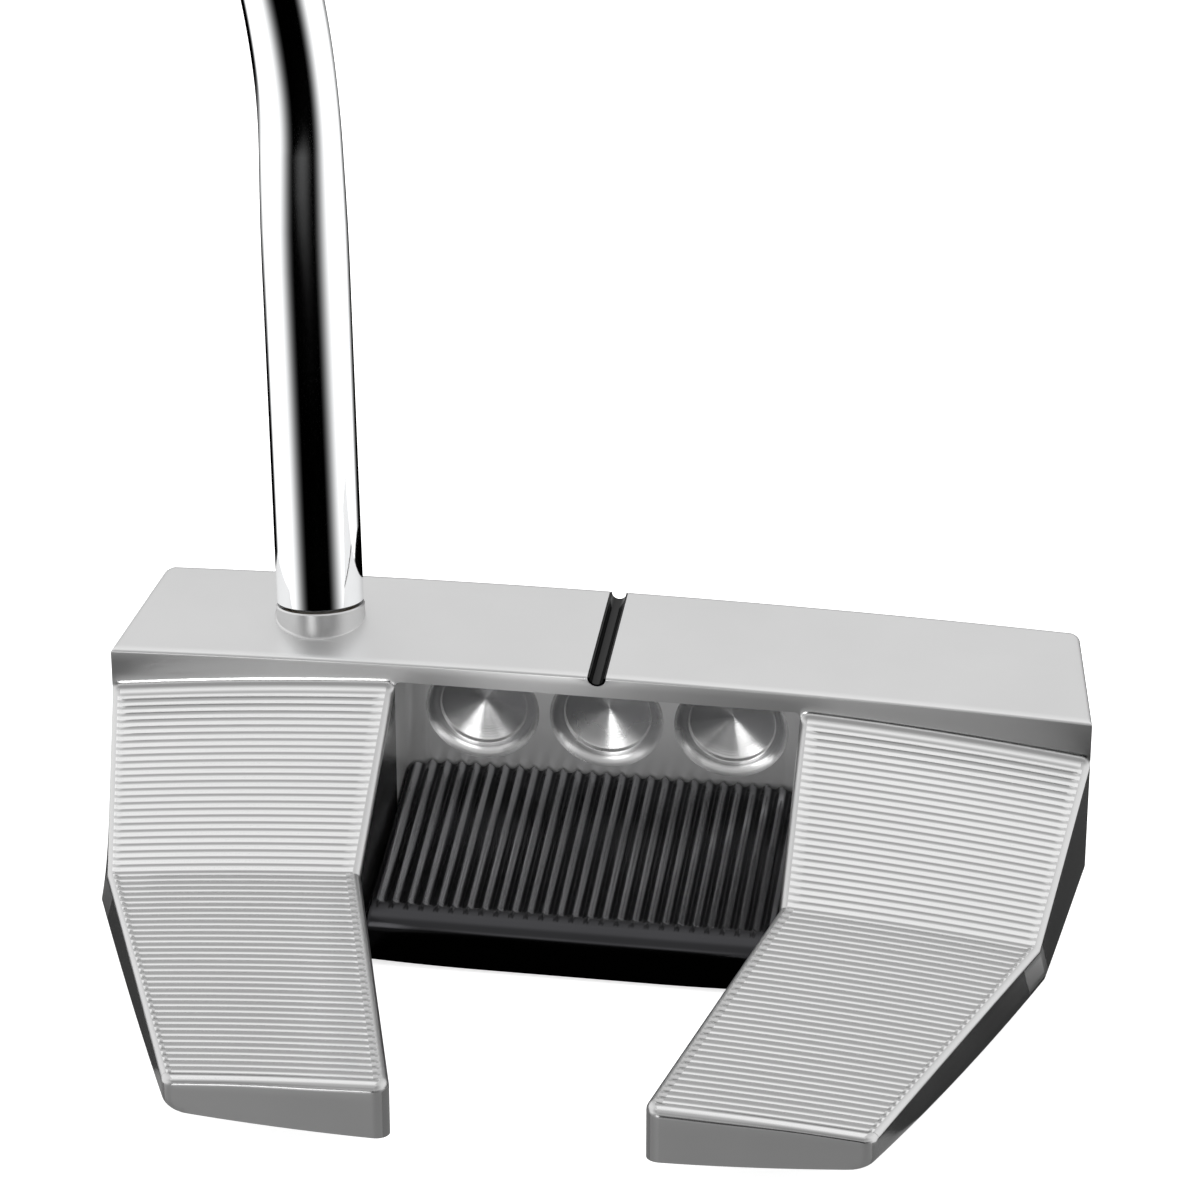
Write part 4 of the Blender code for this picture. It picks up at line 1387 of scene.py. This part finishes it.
@dataclass(frozen=True)
class Finish:
    """A material, from its colours and the way its surface was made.

    Attributes:
        name: Material and process.
        color: sRGB hex of the clean surface.
        shade_color: sRGB hex of its darker patches.
        roughness: Roughness of the clean surface.
        spread: How much the roughness varies.
        metallic: 1 for a metal.
        pattern: The shape of the bump.
        pitch: Size of the pattern in millimetres.
        depth: Height of the bump in millimetres.
        anisotropy: Strength of the stretched highlight.
        specular: Strength of the highlight of what isn't a metal.
        center: A point on the turning axis, in millimetres.
        repeat: Distance along X at which the pattern repeats, or 0.
        groove_start: How far the pattern of grooves is moved back along its axis, in millimetres.
        groove_pitch: Its pitch, or 0 where there are no grooves.
        groove_axis: The axis that the pitch is measured along.
        groove_color: sRGB hex of the tone painted on one flank of each groove: painted shade on the steel
            wings, a painted highlight on the ribs.
    """

    name: str
    color: str
    shade_color: str
    roughness: float
    spread: float = 0.05
    metallic: float = 1.0
    pattern: Pattern = Pattern.GRAIN
    pitch: float = 0.3
    depth: float = 0.002
    anisotropy: float = 0.0
    specular: float = 0.5
    center: tuple[float, float, float] = (0.0, 0.0, 0.0)
    repeat: float = 0.0
    groove_start: float = 0.0
    groove_pitch: float = 0.0
    groove_axis: str = "Y"
    groove_color: str = "#909090"

    def build(self) -> bpy.types.Material:
        """Make the material: patches of colour and roughness, and the pattern as bump.

        Returns:
            The new material.
        """
        made = bpy.data.materials.new(self.name)
        made.use_nodes = True
        tree = made.node_tree
        shader = tree.nodes["Principled BSDF"]
        where = add_node(tree, "ShaderNodeTexCoord", {}).outputs["Object"]
        patches = add_node(
            tree,
            "ShaderNodeTexNoise",
            {"Vector": where, "Scale": 1 / (PATCH_SIZE * MM), "Detail": 4.0},
        ).outputs["Fac"]
        colors = add_node(
            tree,
            "ShaderNodeMix",
            {0: patches, MIX_FIRST: linear(self.color), MIX_SECOND: linear(self.shade_color)},
            data_type="RGBA",
        )
        rough = add_node(
            tree,
            "ShaderNodeMapRange",
            {
                "Value": patches,
                "From Min": NOISE_RANGE[0],
                "From Max": NOISE_RANGE[1],
                "To Min": self.roughness - self.spread,
                "To Max": self.roughness + self.spread,
            },
        )
        color = colors.outputs[MIX_RESULT]
        # Grooved finishes get a tone painted on one flank of each groove, as painted shade or as a painted
        # highlight depending on its colour.
        if self.groove_pitch:
            color = self.painted_flank_shading(tree, where, color)
        tree.links.new(color, shader.inputs["Base Color"])
        tree.links.new(rough.outputs[0], shader.inputs["Roughness"])
        shader.inputs["Metallic"].default_value = self.metallic
        shader.inputs["Anisotropic"].default_value = self.anisotropy
        shader.inputs["Specular IOR Level"].default_value = self.specular
        height = self.height(tree, where)
        bump = add_node(
            tree,
            "ShaderNodeBump",
            {"Height": height, "Distance": self.depth * MM, "Strength": 1.0},
        )
        tree.links.new(bump.outputs["Normal"], shader.inputs["Normal"])
        if self.anisotropy:
            tree.links.new(self.spoke(tree, where), shader.inputs["Tangent"])
        return made

    def painted_flank_shading(
        self, tree: bpy.types.NodeTree, where: bpy.types.NodeSocket, color: bpy.types.NodeSocket
    ) -> bpy.types.NodeSocket:
        """The colour with a painted tone on one flank of each groove: painted shade where the tone is
        darker, a painted highlight where it is lighter.

        The tone's share is a smooth step of the cosine of the place along the groove's pitch.

        Args:
            tree: The material's nodes.
            where: The place in the object.
            color: The plain colour.

        Returns:
            The mixed colour.
        """
        parts = add_node(tree, "ShaderNodeSeparateXYZ", {0: where})
        moved = add_node(
            tree,
            "ShaderNodeMath",
            {0: parts.outputs[self.groove_axis], 1: self.groove_start * MM},
            operation="ADD",
        )
        turns = add_node(
            tree,
            "ShaderNodeMath",
            {0: moved.outputs[0], 1: 2 * math.pi / (self.groove_pitch * MM), 2: FLANK_PHASE},
            operation="MULTIPLY_ADD",
        )
        wave = add_node(tree, "ShaderNodeMath", {0: turns.outputs[0]}, operation="COSINE")
        share = add_node(
            tree,
            "ShaderNodeMapRange",
            {"Value": wave.outputs[0], "From Min": FLANK_EDGE, "From Max": 1.0},
            interpolation_type="SMOOTHSTEP",
        )
        mixed = add_node(
            tree,
            "ShaderNodeMix",
            {0: share.outputs[0], MIX_FIRST: color, MIX_SECOND: linear(self.groove_color)},
            data_type="RGBA",
        )
        return mixed.outputs[MIX_RESULT]

    def spoke(self, tree: bpy.types.NodeTree, where: bpy.types.NodeSocket) -> bpy.types.NodeSocket:
        """The vector from the turning axis, which is parallel to Y and may repeat along X.

        Args:
            tree: The material's nodes.
            where: The place in the object.

        Returns:
            The vector, in the plane of X and Z.
        """
        moved = add_node(
            tree,
            "ShaderNodeVectorMath",
            {0: where, 1: tuple(c * MM for c in self.center)},
            operation="SUBTRACT",
        )
        parts = add_node(tree, "ShaderNodeSeparateXYZ", {0: moved.outputs[0]})
        across = parts.outputs["X"]
        if self.repeat:
            half = self.repeat * MM / 2
            wrap = add_node(tree, "ShaderNodeMath", {0: across, 1: half, 2: -half}, operation="WRAP")
            across = wrap.outputs[0]
        joined = add_node(tree, "ShaderNodeCombineXYZ", {"X": across, "Z": parts.outputs["Z"]})
        return joined.outputs[0]

    def height(self, tree: bpy.types.NodeTree, where: bpy.types.NodeSocket) -> bpy.types.NodeSocket:
        """The pattern as a height: noise, stretched noise, cells, or a sine of the radius.

        Args:
            tree: The material's nodes.
            where: The place in the object.

        Returns:
            The height, before the bump's distance scales it.
        """
        if self.pattern is Pattern.CELLS:
            cells = add_node(
                tree,
                "ShaderNodeTexVoronoi",
                {"Vector": where, "Scale": 1 / (self.pitch * MM)},
                feature="SMOOTH_F1",
            )
            return cells.outputs["Distance"]
        if self.pattern in (Pattern.RINGS, Pattern.ARCS):
            spoke = self.spoke(tree, where)
            length = add_node(tree, "ShaderNodeVectorMath", {0: spoke}, operation="LENGTH")
            turns = add_node(
                tree,
                "ShaderNodeMath",
                {0: length.outputs["Value"], 1: 2 * math.pi / (self.pitch * MM)},
                operation="MULTIPLY",
            )
            wave = add_node(tree, "ShaderNodeMath", {0: turns.outputs[0]}, operation="SINE")
            return wave.outputs[0]
        stretch = (1.0, 1.0, 1.0)
        if self.pattern is Pattern.LINES_X:
            stretch = (0.03, 1.0, 1.0)
        scaled = add_node(tree, "ShaderNodeMapping", {"Vector": where, "Scale": stretch})
        grain = add_node(
            tree,
            "ShaderNodeTexNoise",
            {"Vector": scaled.outputs[0], "Scale": 1 / (self.pitch * MM), "Detail": 3.0},
        )
        return grain.outputs["Fac"]


DIMPLE_CENTER = (0.0, CAVITY_DEPTH, 14.0)  # on the axis of the middle dimple
FACE_CENTER = (-70.0, 0.0, -60.0)  # on the axis of the face cutter, low and beyond the heel

# Stainless steel under fly-cut grooves: bright crests, with drag lines along each groove, and painted
# shade, a darker tone, on one flank of each groove. Real drag lines are finer, and these are drawn coarser
# so that they show.
MILLED_STEEL = Finish(
    "stainless_steel_fly_cut_front_painted_shade",
    "#E1E1E1",
    "#D9D9D9",
    0.2,
    0.03,
    pattern=Pattern.LINES_X,
    pitch=0.12,
    depth=0.003,
    groove_start=FRONT_GROOVES.start,
    groove_pitch=FRONT_GROOVES.pitch,
    groove_color="#BDBDBD",
)
# The deeper and wider grooves behind the fold: darker painted shade on one flank of each of them.
REAR_MILLED_STEEL = replace(
    MILLED_STEEL,
    name="stainless_steel_fly_cut_rear_painted_shade",
    groove_start=REAR_GROOVES.start,
    groove_pitch=REAR_GROOVES.pitch,
    groove_color="#9C9C9C",
)
# Misted with fine glass beads: an even, soft grey that shows no lines.
MISTED_STEEL = Finish("stainless_steel_misted", "#D9D9D9", "#D3D3D3", 0.36, 0.03, pitch=0.1, depth=0.002)
# Satin blasted walls: a dull, even grey.
SATIN_STEEL = Finish("stainless_steel_satin", "#C5C5C5", "#BCBCBC", 0.36, 0.04, pitch=0.16, depth=0.003)
# Rounded by hand along the edges of the wings: a softer, duller grey than the milled tops.
RIM_STEEL = Finish("stainless_steel_rounded_edge", "#BEBEBE", "#B4B4B4", 0.3, 0.03, pitch=0.2, depth=0.002)
# Side-milled and polished walls: smooth enough to mirror the dark around them.
SIDE_STEEL = Finish("stainless_steel_side_milled", "#B3B3B3", "#A7A7A7", 0.2, 0.03, pitch=0.2, depth=0.003)
# Turned with a fine feed: the highlight spreads into two wedges across the rings.
TURNED_STEEL = Finish(
    "stainless_steel_turned",
    "#E9E9E9",
    "#DFDFDF",
    0.27,
    0.03,
    0.92,
    pattern=Pattern.RINGS,
    pitch=0.3,
    depth=0.0012,
    anisotropy=0.9,
    center=DIMPLE_CENTER,
    repeat=DIMPLE_PITCH,
)
# End-milled cavity: smooth enough to mirror the black plate below.
BORED_STEEL = Finish(
    "stainless_steel_end_milled", "#D9D9D9", "#CECECE", 0.33, 0.03, 0.55, pitch=0.2, depth=0.003
)
# Milled with a large face cutter: shallow arcs across the striking face.
FACE_STEEL = Finish(
    "stainless_steel_face_milled",
    "#CCCCCC",
    "#C2C2C2",
    0.32,
    0.03,
    pattern=Pattern.ARCS,
    pitch=1.1,
    depth=0.03,
    center=FACE_CENTER,
)
# Polished and plated: a mirror with hardly any haze.
CHROME = Finish("steel_chrome_plated", "#F0F1F2", "#ECEDEE", 0.05, 0.01, pitch=6.0, depth=0.001)
# Smoothed, then anodised black: nearly black, and it mirrors the steel round it dimly.
ANODISED = Finish("aluminium_anodised_black", "#424244", "#3C3C3E", 0.2, 0.02, pitch=0.6, depth=0.0008)
# Ball-milled ribs, anodised with the plate: a painted highlight, a light grey, on one flank of each rib,
# and a darker base colour between them as painted shade.
RIBBED = replace(
    ANODISED,
    name="aluminium_anodised_ribs_painted_light",
    color="#262628",
    shade_color="#202022",
    groove_start=-0.35,
    groove_pitch=RIB_PITCH,
    groove_axis="X",
    groove_color="#8C8C8E",
)
# Glossy enamel that levelled in the groove.
ENAMEL = Finish(
    "enamel_black_gloss", "#020202", "#030303", 0.16, 0.03, 0.0, pitch=2.0, depth=0.01, specular=0.18
)
# Alloy steel with a black oxide film.
OXIDE = Finish("alloy_steel_black_oxide", "#2B2B2E", "#222225", 0.42, 0.05, 0.9, pitch=0.2, depth=0.004)
# Faced stainless steel of the weights: an even, fine grain.
WEIGHT_STEEL = Finish(
    "stainless_steel_weight_faced", "#C8C8C8", "#BEBEBE", 0.28, 0.03, pitch=0.1, depth=0.002
)
# Moulded rubber with a pebbled skin: matt, with a faint sheen.
RUBBER = Finish(
    "rubber_moulded_pebbled",
    "#1C1C1D",
    "#242425",
    0.62,
    0.06,
    0.0,
    pattern=Pattern.CELLS,
    pitch=1.1,
    depth=0.12,
)
# Creped paper with adhesive: pale, dry and wrinkled.
TAPE = Finish("tape_creped_paper", "#D8CFB8", "#CBC0A5", 0.85, 0.05, 0.0, pitch=0.5, depth=0.05)
# Cured epoxy: amber, half glossy.
EPOXY = Finish("epoxy_cured", "#B79A5E", "#A88A4E", 0.3, 0.05, 0.0, pitch=1.5, depth=0.01)


# ---------------------------------------------------------------- studio


CAVITY_MIDDLE = (0.0, 8.0, 14.0)  # the point that the lamps face
SENSOR_WIDTH = 36.0
FLOOR_DROP = 0.3  # mm from the object down to the floor


def facing(azimuth: float, elevation: float) -> Vector:
    """The unit vector to a place at an azimuth from -Y and an elevation, in radians."""
    flat = math.cos(elevation)
    return Vector((math.sin(azimuth) * flat, -math.cos(azimuth) * flat, math.sin(elevation)))


@dataclass(frozen=True)
class Lamp:
    """A lamp that faces the middle of the cavity.

    Attributes:
        turn: Its azimuth from -Y in degrees.
        rise: Its elevation in degrees.
        distance: How far it stands from there in millimetres.
        size: Length of its sides in millimetres.
        power: Its power in watts.
    """

    turn: float
    rise: float
    distance: float
    size: float
    power: float

    @property
    def azimuth(self) -> float:
        """Azimuth in radians."""
        return math.radians(self.turn)

    @property
    def elevation(self) -> float:
        """Elevation in radians."""
        return math.radians(self.rise)


class Measure(Enum):
    """What a direction is measured by."""

    SIDEWAYS = "how far it points to either side"
    BACK = "how far it points to the rear of the view"
    UP = "how far it points up"
    AHEAD = "cosine of its turn from the camera's side"


@dataclass(frozen=True)
class Patch:
    """A soft-edged patch of the surroundings.

    Attributes:
        steps: For each measure, the values at which the patch starts and at which it is full.
        light: Light that it adds where it is full. A dark patch needs none.
    """

    steps: tuple[tuple[Measure, float, float], ...]
    light: float = 0.0


@dataclass
class Studio:
    """Camera, pale floor and soft surrounding light, with cards and lamps for the steel alone."""

    azimuth: float = math.radians(8.04)
    elevation: float = math.radians(31.53)
    distance: float = 608.2
    lens: float = 173.1
    target: tuple[float, float, float] = (0.38, 0.0, 33.88)
    floor_size: float = 4000.0
    camera_side: tuple[float, float, float] = (0.14, -0.99, 0.0)
    sky: float = 1.14
    tints: tuple[Patch, ...] = (
        Patch(((Measure.BACK, -0.05, -0.6), (Measure.UP, 0.2, 0.45)), -0.6),
        Patch(((Measure.BACK, 0.75, 0.95), (Measure.UP, 0.6, 0.25)), -0.95),
        Patch(((Measure.SIDEWAYS, 0.4, 0.8),), 0.3),
    )
    darks: tuple[Patch, ...] = (
        Patch(((Measure.AHEAD, 0.3, 0.9), (Measure.UP, 0.22, 0.04))),
        Patch(((Measure.UP, -0.5, -0.7),)),
        Patch(((Measure.AHEAD, -0.5, -0.72), (Measure.UP, -0.36, -0.46))),
    )
    fill: Lamp = field(default_factory=lambda: Lamp(-16, -7, 500, 120, 0.2))
    cavity_lamp: Lamp = field(default_factory=lambda: Lamp(-14, -3, 46, 12, 0.0016))

    def camera(self) -> None:
        """Look at the target from the azimuth, elevation and distance."""
        data = bpy.data.cameras.new("camera")
        data.lens = self.lens
        data.sensor_width = SENSOR_WIDTH
        data.clip_start = 0.01
        camera = bpy.data.objects.new("camera", data)
        bpy.context.scene.collection.objects.link(camera)
        back = facing(self.azimuth, self.elevation)
        camera.location = (Vector(self.target) + back * self.distance) * MM
        camera.rotation_euler = back.to_track_quat("Z", "Y").to_euler()
        bpy.context.scene.camera = camera

    def floor(self, level: float) -> None:
        """A pale matt floor that metals don't mirror."""
        half = self.floor_size / 2
        corners = np.array([(-half, -half), (half, -half), (half, half), (-half, half)])
        shell = Shell()
        shell.cap(place(corners[:, 0], corners[:, 1], level))
        floor = shell.piece("floor")
        floor.visible_glossy = floor.visible_shadow = False
        pale = bpy.data.materials.new("floor_pale")
        pale.use_nodes = True
        shader = pale.node_tree.nodes["Principled BSDF"]
        shader.inputs["Base Color"].default_value = linear("#F4F4F4")
        shader.inputs["Roughness"].default_value = 0.9
        shader.inputs["Specular IOR Level"].default_value = 0.0
        shader.inputs["Emission Color"].default_value = (1, 1, 1, 1)
        shader.inputs["Emission Strength"].default_value = 0.75
        floor.data.materials.append(pale)
        floor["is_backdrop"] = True

    def card(
        self,
        name: str,
        level: float,
        middle: float,
        size: tuple[float, float],
        light: float,
        receivers: bpy.types.Collection,
    ) -> None:
        """An oval card on the floor that only reflections in the steel see.

        Args:
            name: The card's name.
            level: Its height in millimetres.
            middle: Y of its middle.
            size: Half width and half depth.
            light: How bright it is.
            receivers: The pieces that see its light.
        """
        turn = 2 * np.pi * np.arange(64) / 64
        shell = Shell()
        shell.cap(place(size[0] * np.cos(turn), size[1] * np.sin(turn) + middle, level))
        card = shell.piece(name)
        card.visible_camera = card.visible_diffuse = card.visible_shadow = False
        grey = bpy.data.materials.new(name)
        grey.use_nodes = True
        shader = grey.node_tree.nodes["Principled BSDF"]
        shader.inputs["Base Color"].default_value = (0, 0, 0, 1)
        shader.inputs["Specular IOR Level"].default_value = 0.0
        shader.inputs["Emission Color"].default_value = (1, 1, 1, 1)
        shader.inputs["Emission Strength"].default_value = light
        card.data.materials.append(grey)
        card.light_linking.receiver_collection = receivers
        card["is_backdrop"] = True

    def lamp(self, name: str, source: Lamp, receivers: bpy.types.Collection) -> None:
        """A soft square lamp that reaches only some pieces and that the camera doesn't see.

        Args:
            name: The lamp's name.
            source: Its direction, distance, size and power.
            receivers: The pieces that it lights.
        """
        data = bpy.data.lights.new(name, "AREA")
        data.size = source.size * MM
        data.energy = source.power
        light = bpy.data.objects.new(name, data)
        bpy.context.scene.collection.objects.link(light)
        light.visible_camera = False
        back = facing(source.azimuth, source.elevation)
        light.location = (Vector(CAVITY_MIDDLE) + back * source.distance) * MM
        light.rotation_euler = back.to_track_quat("Z", "Y").to_euler()
        light.light_linking.receiver_collection = receivers

    def patch(
        self, tree: bpy.types.NodeTree, measures: dict[Measure, bpy.types.NodeSocket], patch: Patch
    ) -> bpy.types.NodeSocket:
        """How full a patch is in a direction: the product of its smooth steps.

        Args:
            tree: The world's nodes.
            measures: The direction's measures.
            patch: The patch.

        Returns:
            A value from 0 to 1.
        """
        full = None
        for measure, start, end in patch.steps:
            step = add_node(
                tree,
                "ShaderNodeMapRange",
                {"Value": measures[measure], "From Min": start, "From Max": end},
                interpolation_type="SMOOTHSTEP",
            ).outputs[0]
            if full is not None:
                step = add_node(tree, "ShaderNodeMath", {0: full, 1: step}, operation="MULTIPLY").outputs[0]
            full = step
        return full

    def measures(self, tree: bpy.types.NodeTree) -> dict[Measure, bpy.types.NodeSocket]:
        """Add the nodes that measure a direction.

        Args:
            tree: The world's nodes.

        Returns:
            An output for each measure.
        """
        where = add_node(tree, "ShaderNodeTexCoord", {}).outputs["Generated"]
        parts = add_node(tree, "ShaderNodeSeparateXYZ", {0: where}).outputs
        level = add_node(tree, "ShaderNodeVectorMath", {0: where, 1: (1, 1, 0)}, operation="MULTIPLY")
        unit = add_node(tree, "ShaderNodeVectorMath", {0: level.outputs[0]}, operation="NORMALIZE")
        ahead = add_node(
            tree,
            "ShaderNodeVectorMath",
            {0: unit.outputs[0], 1: self.camera_side},
            operation="DOT_PRODUCT",
        )
        sideways = add_node(tree, "ShaderNodeMath", {0: parts["X"]}, operation="ABSOLUTE")
        return {
            Measure.SIDEWAYS: sideways.outputs[0],
            Measure.BACK: parts["Y"],
            Measure.UP: parts["Z"],
            Measure.AHEAD: ahead.outputs["Value"],
        }

    def surroundings(self) -> None:
        """Soft light from all round, as a function of direction.

        White where the camera looks past the object. The light itself is the sky's, changed
        by the tints, and dark in front of the object up to a little above the horizon, below
        the object, and low behind it.
        """
        world = bpy.data.worlds.new("studio")
        world.use_nodes = True
        bpy.context.scene.world = world
        tree = world.node_tree
        tree.nodes.clear()
        measures = self.measures(tree)
        level: bpy.types.NodeSocket | float = self.sky
        for tint in self.tints:
            links = {0: self.patch(tree, measures, tint), 1: tint.light, 2: level}
            level = add_node(tree, "ShaderNodeMath", links, operation="MULTIPLY_ADD").outputs[0]
        dark: bpy.types.NodeSocket | float = 0.0
        for shadow in self.darks:
            links = {0: self.patch(tree, measures, shadow), 1: dark}
            dark = add_node(tree, "ShaderNodeMath", links, operation="MAXIMUM").outputs[0]
        lit = add_node(tree, "ShaderNodeMath", {0: 1.0, 1: dark}, operation="SUBTRACT").outputs[0]
        level = add_node(tree, "ShaderNodeMath", {0: level, 1: lit}, operation="MULTIPLY").outputs[0]
        around = add_node(tree, "ShaderNodeBackground", {"Color": (1, 1, 1, 1), "Strength": level})
        seen = add_node(tree, "ShaderNodeBackground", {"Color": (1, 1, 1, 1), "Strength": 1.0})
        path = add_node(tree, "ShaderNodeLightPath", {})
        mixed = add_node(
            tree,
            "ShaderNodeMixShader",
            {0: path.outputs["Is Camera Ray"], 1: around.outputs[0], 2: seen.outputs[0]},
        )
        add_node(tree, "ShaderNodeOutputWorld", {"Surface": mixed.outputs[0]})

    def build(self, level: float, lit: list[bpy.types.Object]) -> None:
        """Set up everything.

        Args:
            level: Height of the floor in millimetres.
            lit: The pieces that the lamps and cards reach.
        """
        self.camera()
        self.floor(level)
        receivers = bpy.data.collections.new("lit_by_lamps")
        for piece in lit:
            receivers.objects.link(piece)
        self.card("card_dark", level + 0.1, 0.0, (70.0, 70.0), 0.05, receivers)
        self.card("card_grey", level + 0.15, -66.0, (54.0, 36.0), 0.3, receivers)
        self.lamp("fill", self.fill, receivers)
        self.lamp("cavity_lamp", self.cavity_lamp, receivers)
        self.surroundings()
        bpy.context.scene.view_settings.view_transform = "Standard"


# ---------------------------------------------------------------- assembly


def show(
    piece: bpy.types.Object, node: str, material: bpy.types.Material | None = None
) -> None:
    """Put a piece in the place of its CAD node.

    Args:
        piece: The finished piece.
        node: The CAD node that it stands for.
        material: Its material, unless it is dressed already.
    """
    if material:
        paint(piece, [material])
    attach(piece, "root")
    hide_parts(node)
    LOG.info("%s: %d faces, for %s", piece.name, len(piece.data.polygons), node)


def keep(node: bpy.types.Object, material: bpy.types.Material) -> None:
    """Give a CAD node that stays its material."""
    paint(node, [material])
    LOG.info("%s: kept", node.name)


def main() -> None:
    """Build the putter piece by piece, and the studio round it."""
    logging.basicConfig(level=logging.INFO, format="%(message)s")
    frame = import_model()
    sole, axis = Sole(), Axis()
    flange, screw, weight = Flange(sole), Screw(), Weight(sole)
    spots = flange.screw_places()
    oxide, satin = OXIDE.build(), SATIN_STEEL.build()

    holes = [flange.ears(GAP, -5, "cut_ears")]
    holes += [screw.thread_hole(spot) for spot in spots]
    holes += [weight.pocket(side) for side in (-1, 1)]
    head = Head(sole, axis)
    body = head.build(holes)
    finishes = {
        "wall": satin,
        "top": MISTED_STEEL.build(),
        "side": SIDE_STEEL.build(),
        "wing": MILLED_STEEL.build(),
        "rear_wing": REAR_MILLED_STEEL.build(),
        "rim": RIM_STEEL.build(),
        "dimple": TURNED_STEEL.build(),
        "cavity": BORED_STEEL.build(),
        "face": FACE_STEEL.build(),
        "collar": satin,
    }
    head.dress(body, finishes)
    show(body, "head_body")

    plate = flange.build([screw.head_hole(spot) for spot in spots])
    flange.dress(plate, ANODISED.build(), RIBBED.build())
    show(plate, "sole_flange")
    show(SightLine().build(), "sight_line_fill", ENAMEL.build())
    for number, spot in enumerate(spots, 1):
        made = screw.build(f"socket_screw_{number}", spot)
        show(made, f"flange_screw_{number}", oxide)
    weight_steel = WEIGHT_STEEL.build()
    for side, label in ((-1, "heel"), (1, "toe")):
        made = weight.build(f"{label}_weight_turned", side)
        show(made, f"{label}_weight", weight_steel)

    shaft = Shaft(axis)
    show(shaft.build(), "shaft", CHROME.build())
    show(Grip(shaft).build(), "grip", RUBBER.build())
    keep(frame["nodes"]["shaft_bond"], EPOXY.build())
    keep(frame["nodes"]["grip_tape"], TAPE.build())

    Studio().build(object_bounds()[0][2] / MM - FLOOR_DROP, [body])


if __name__ == "__main__":
    main()
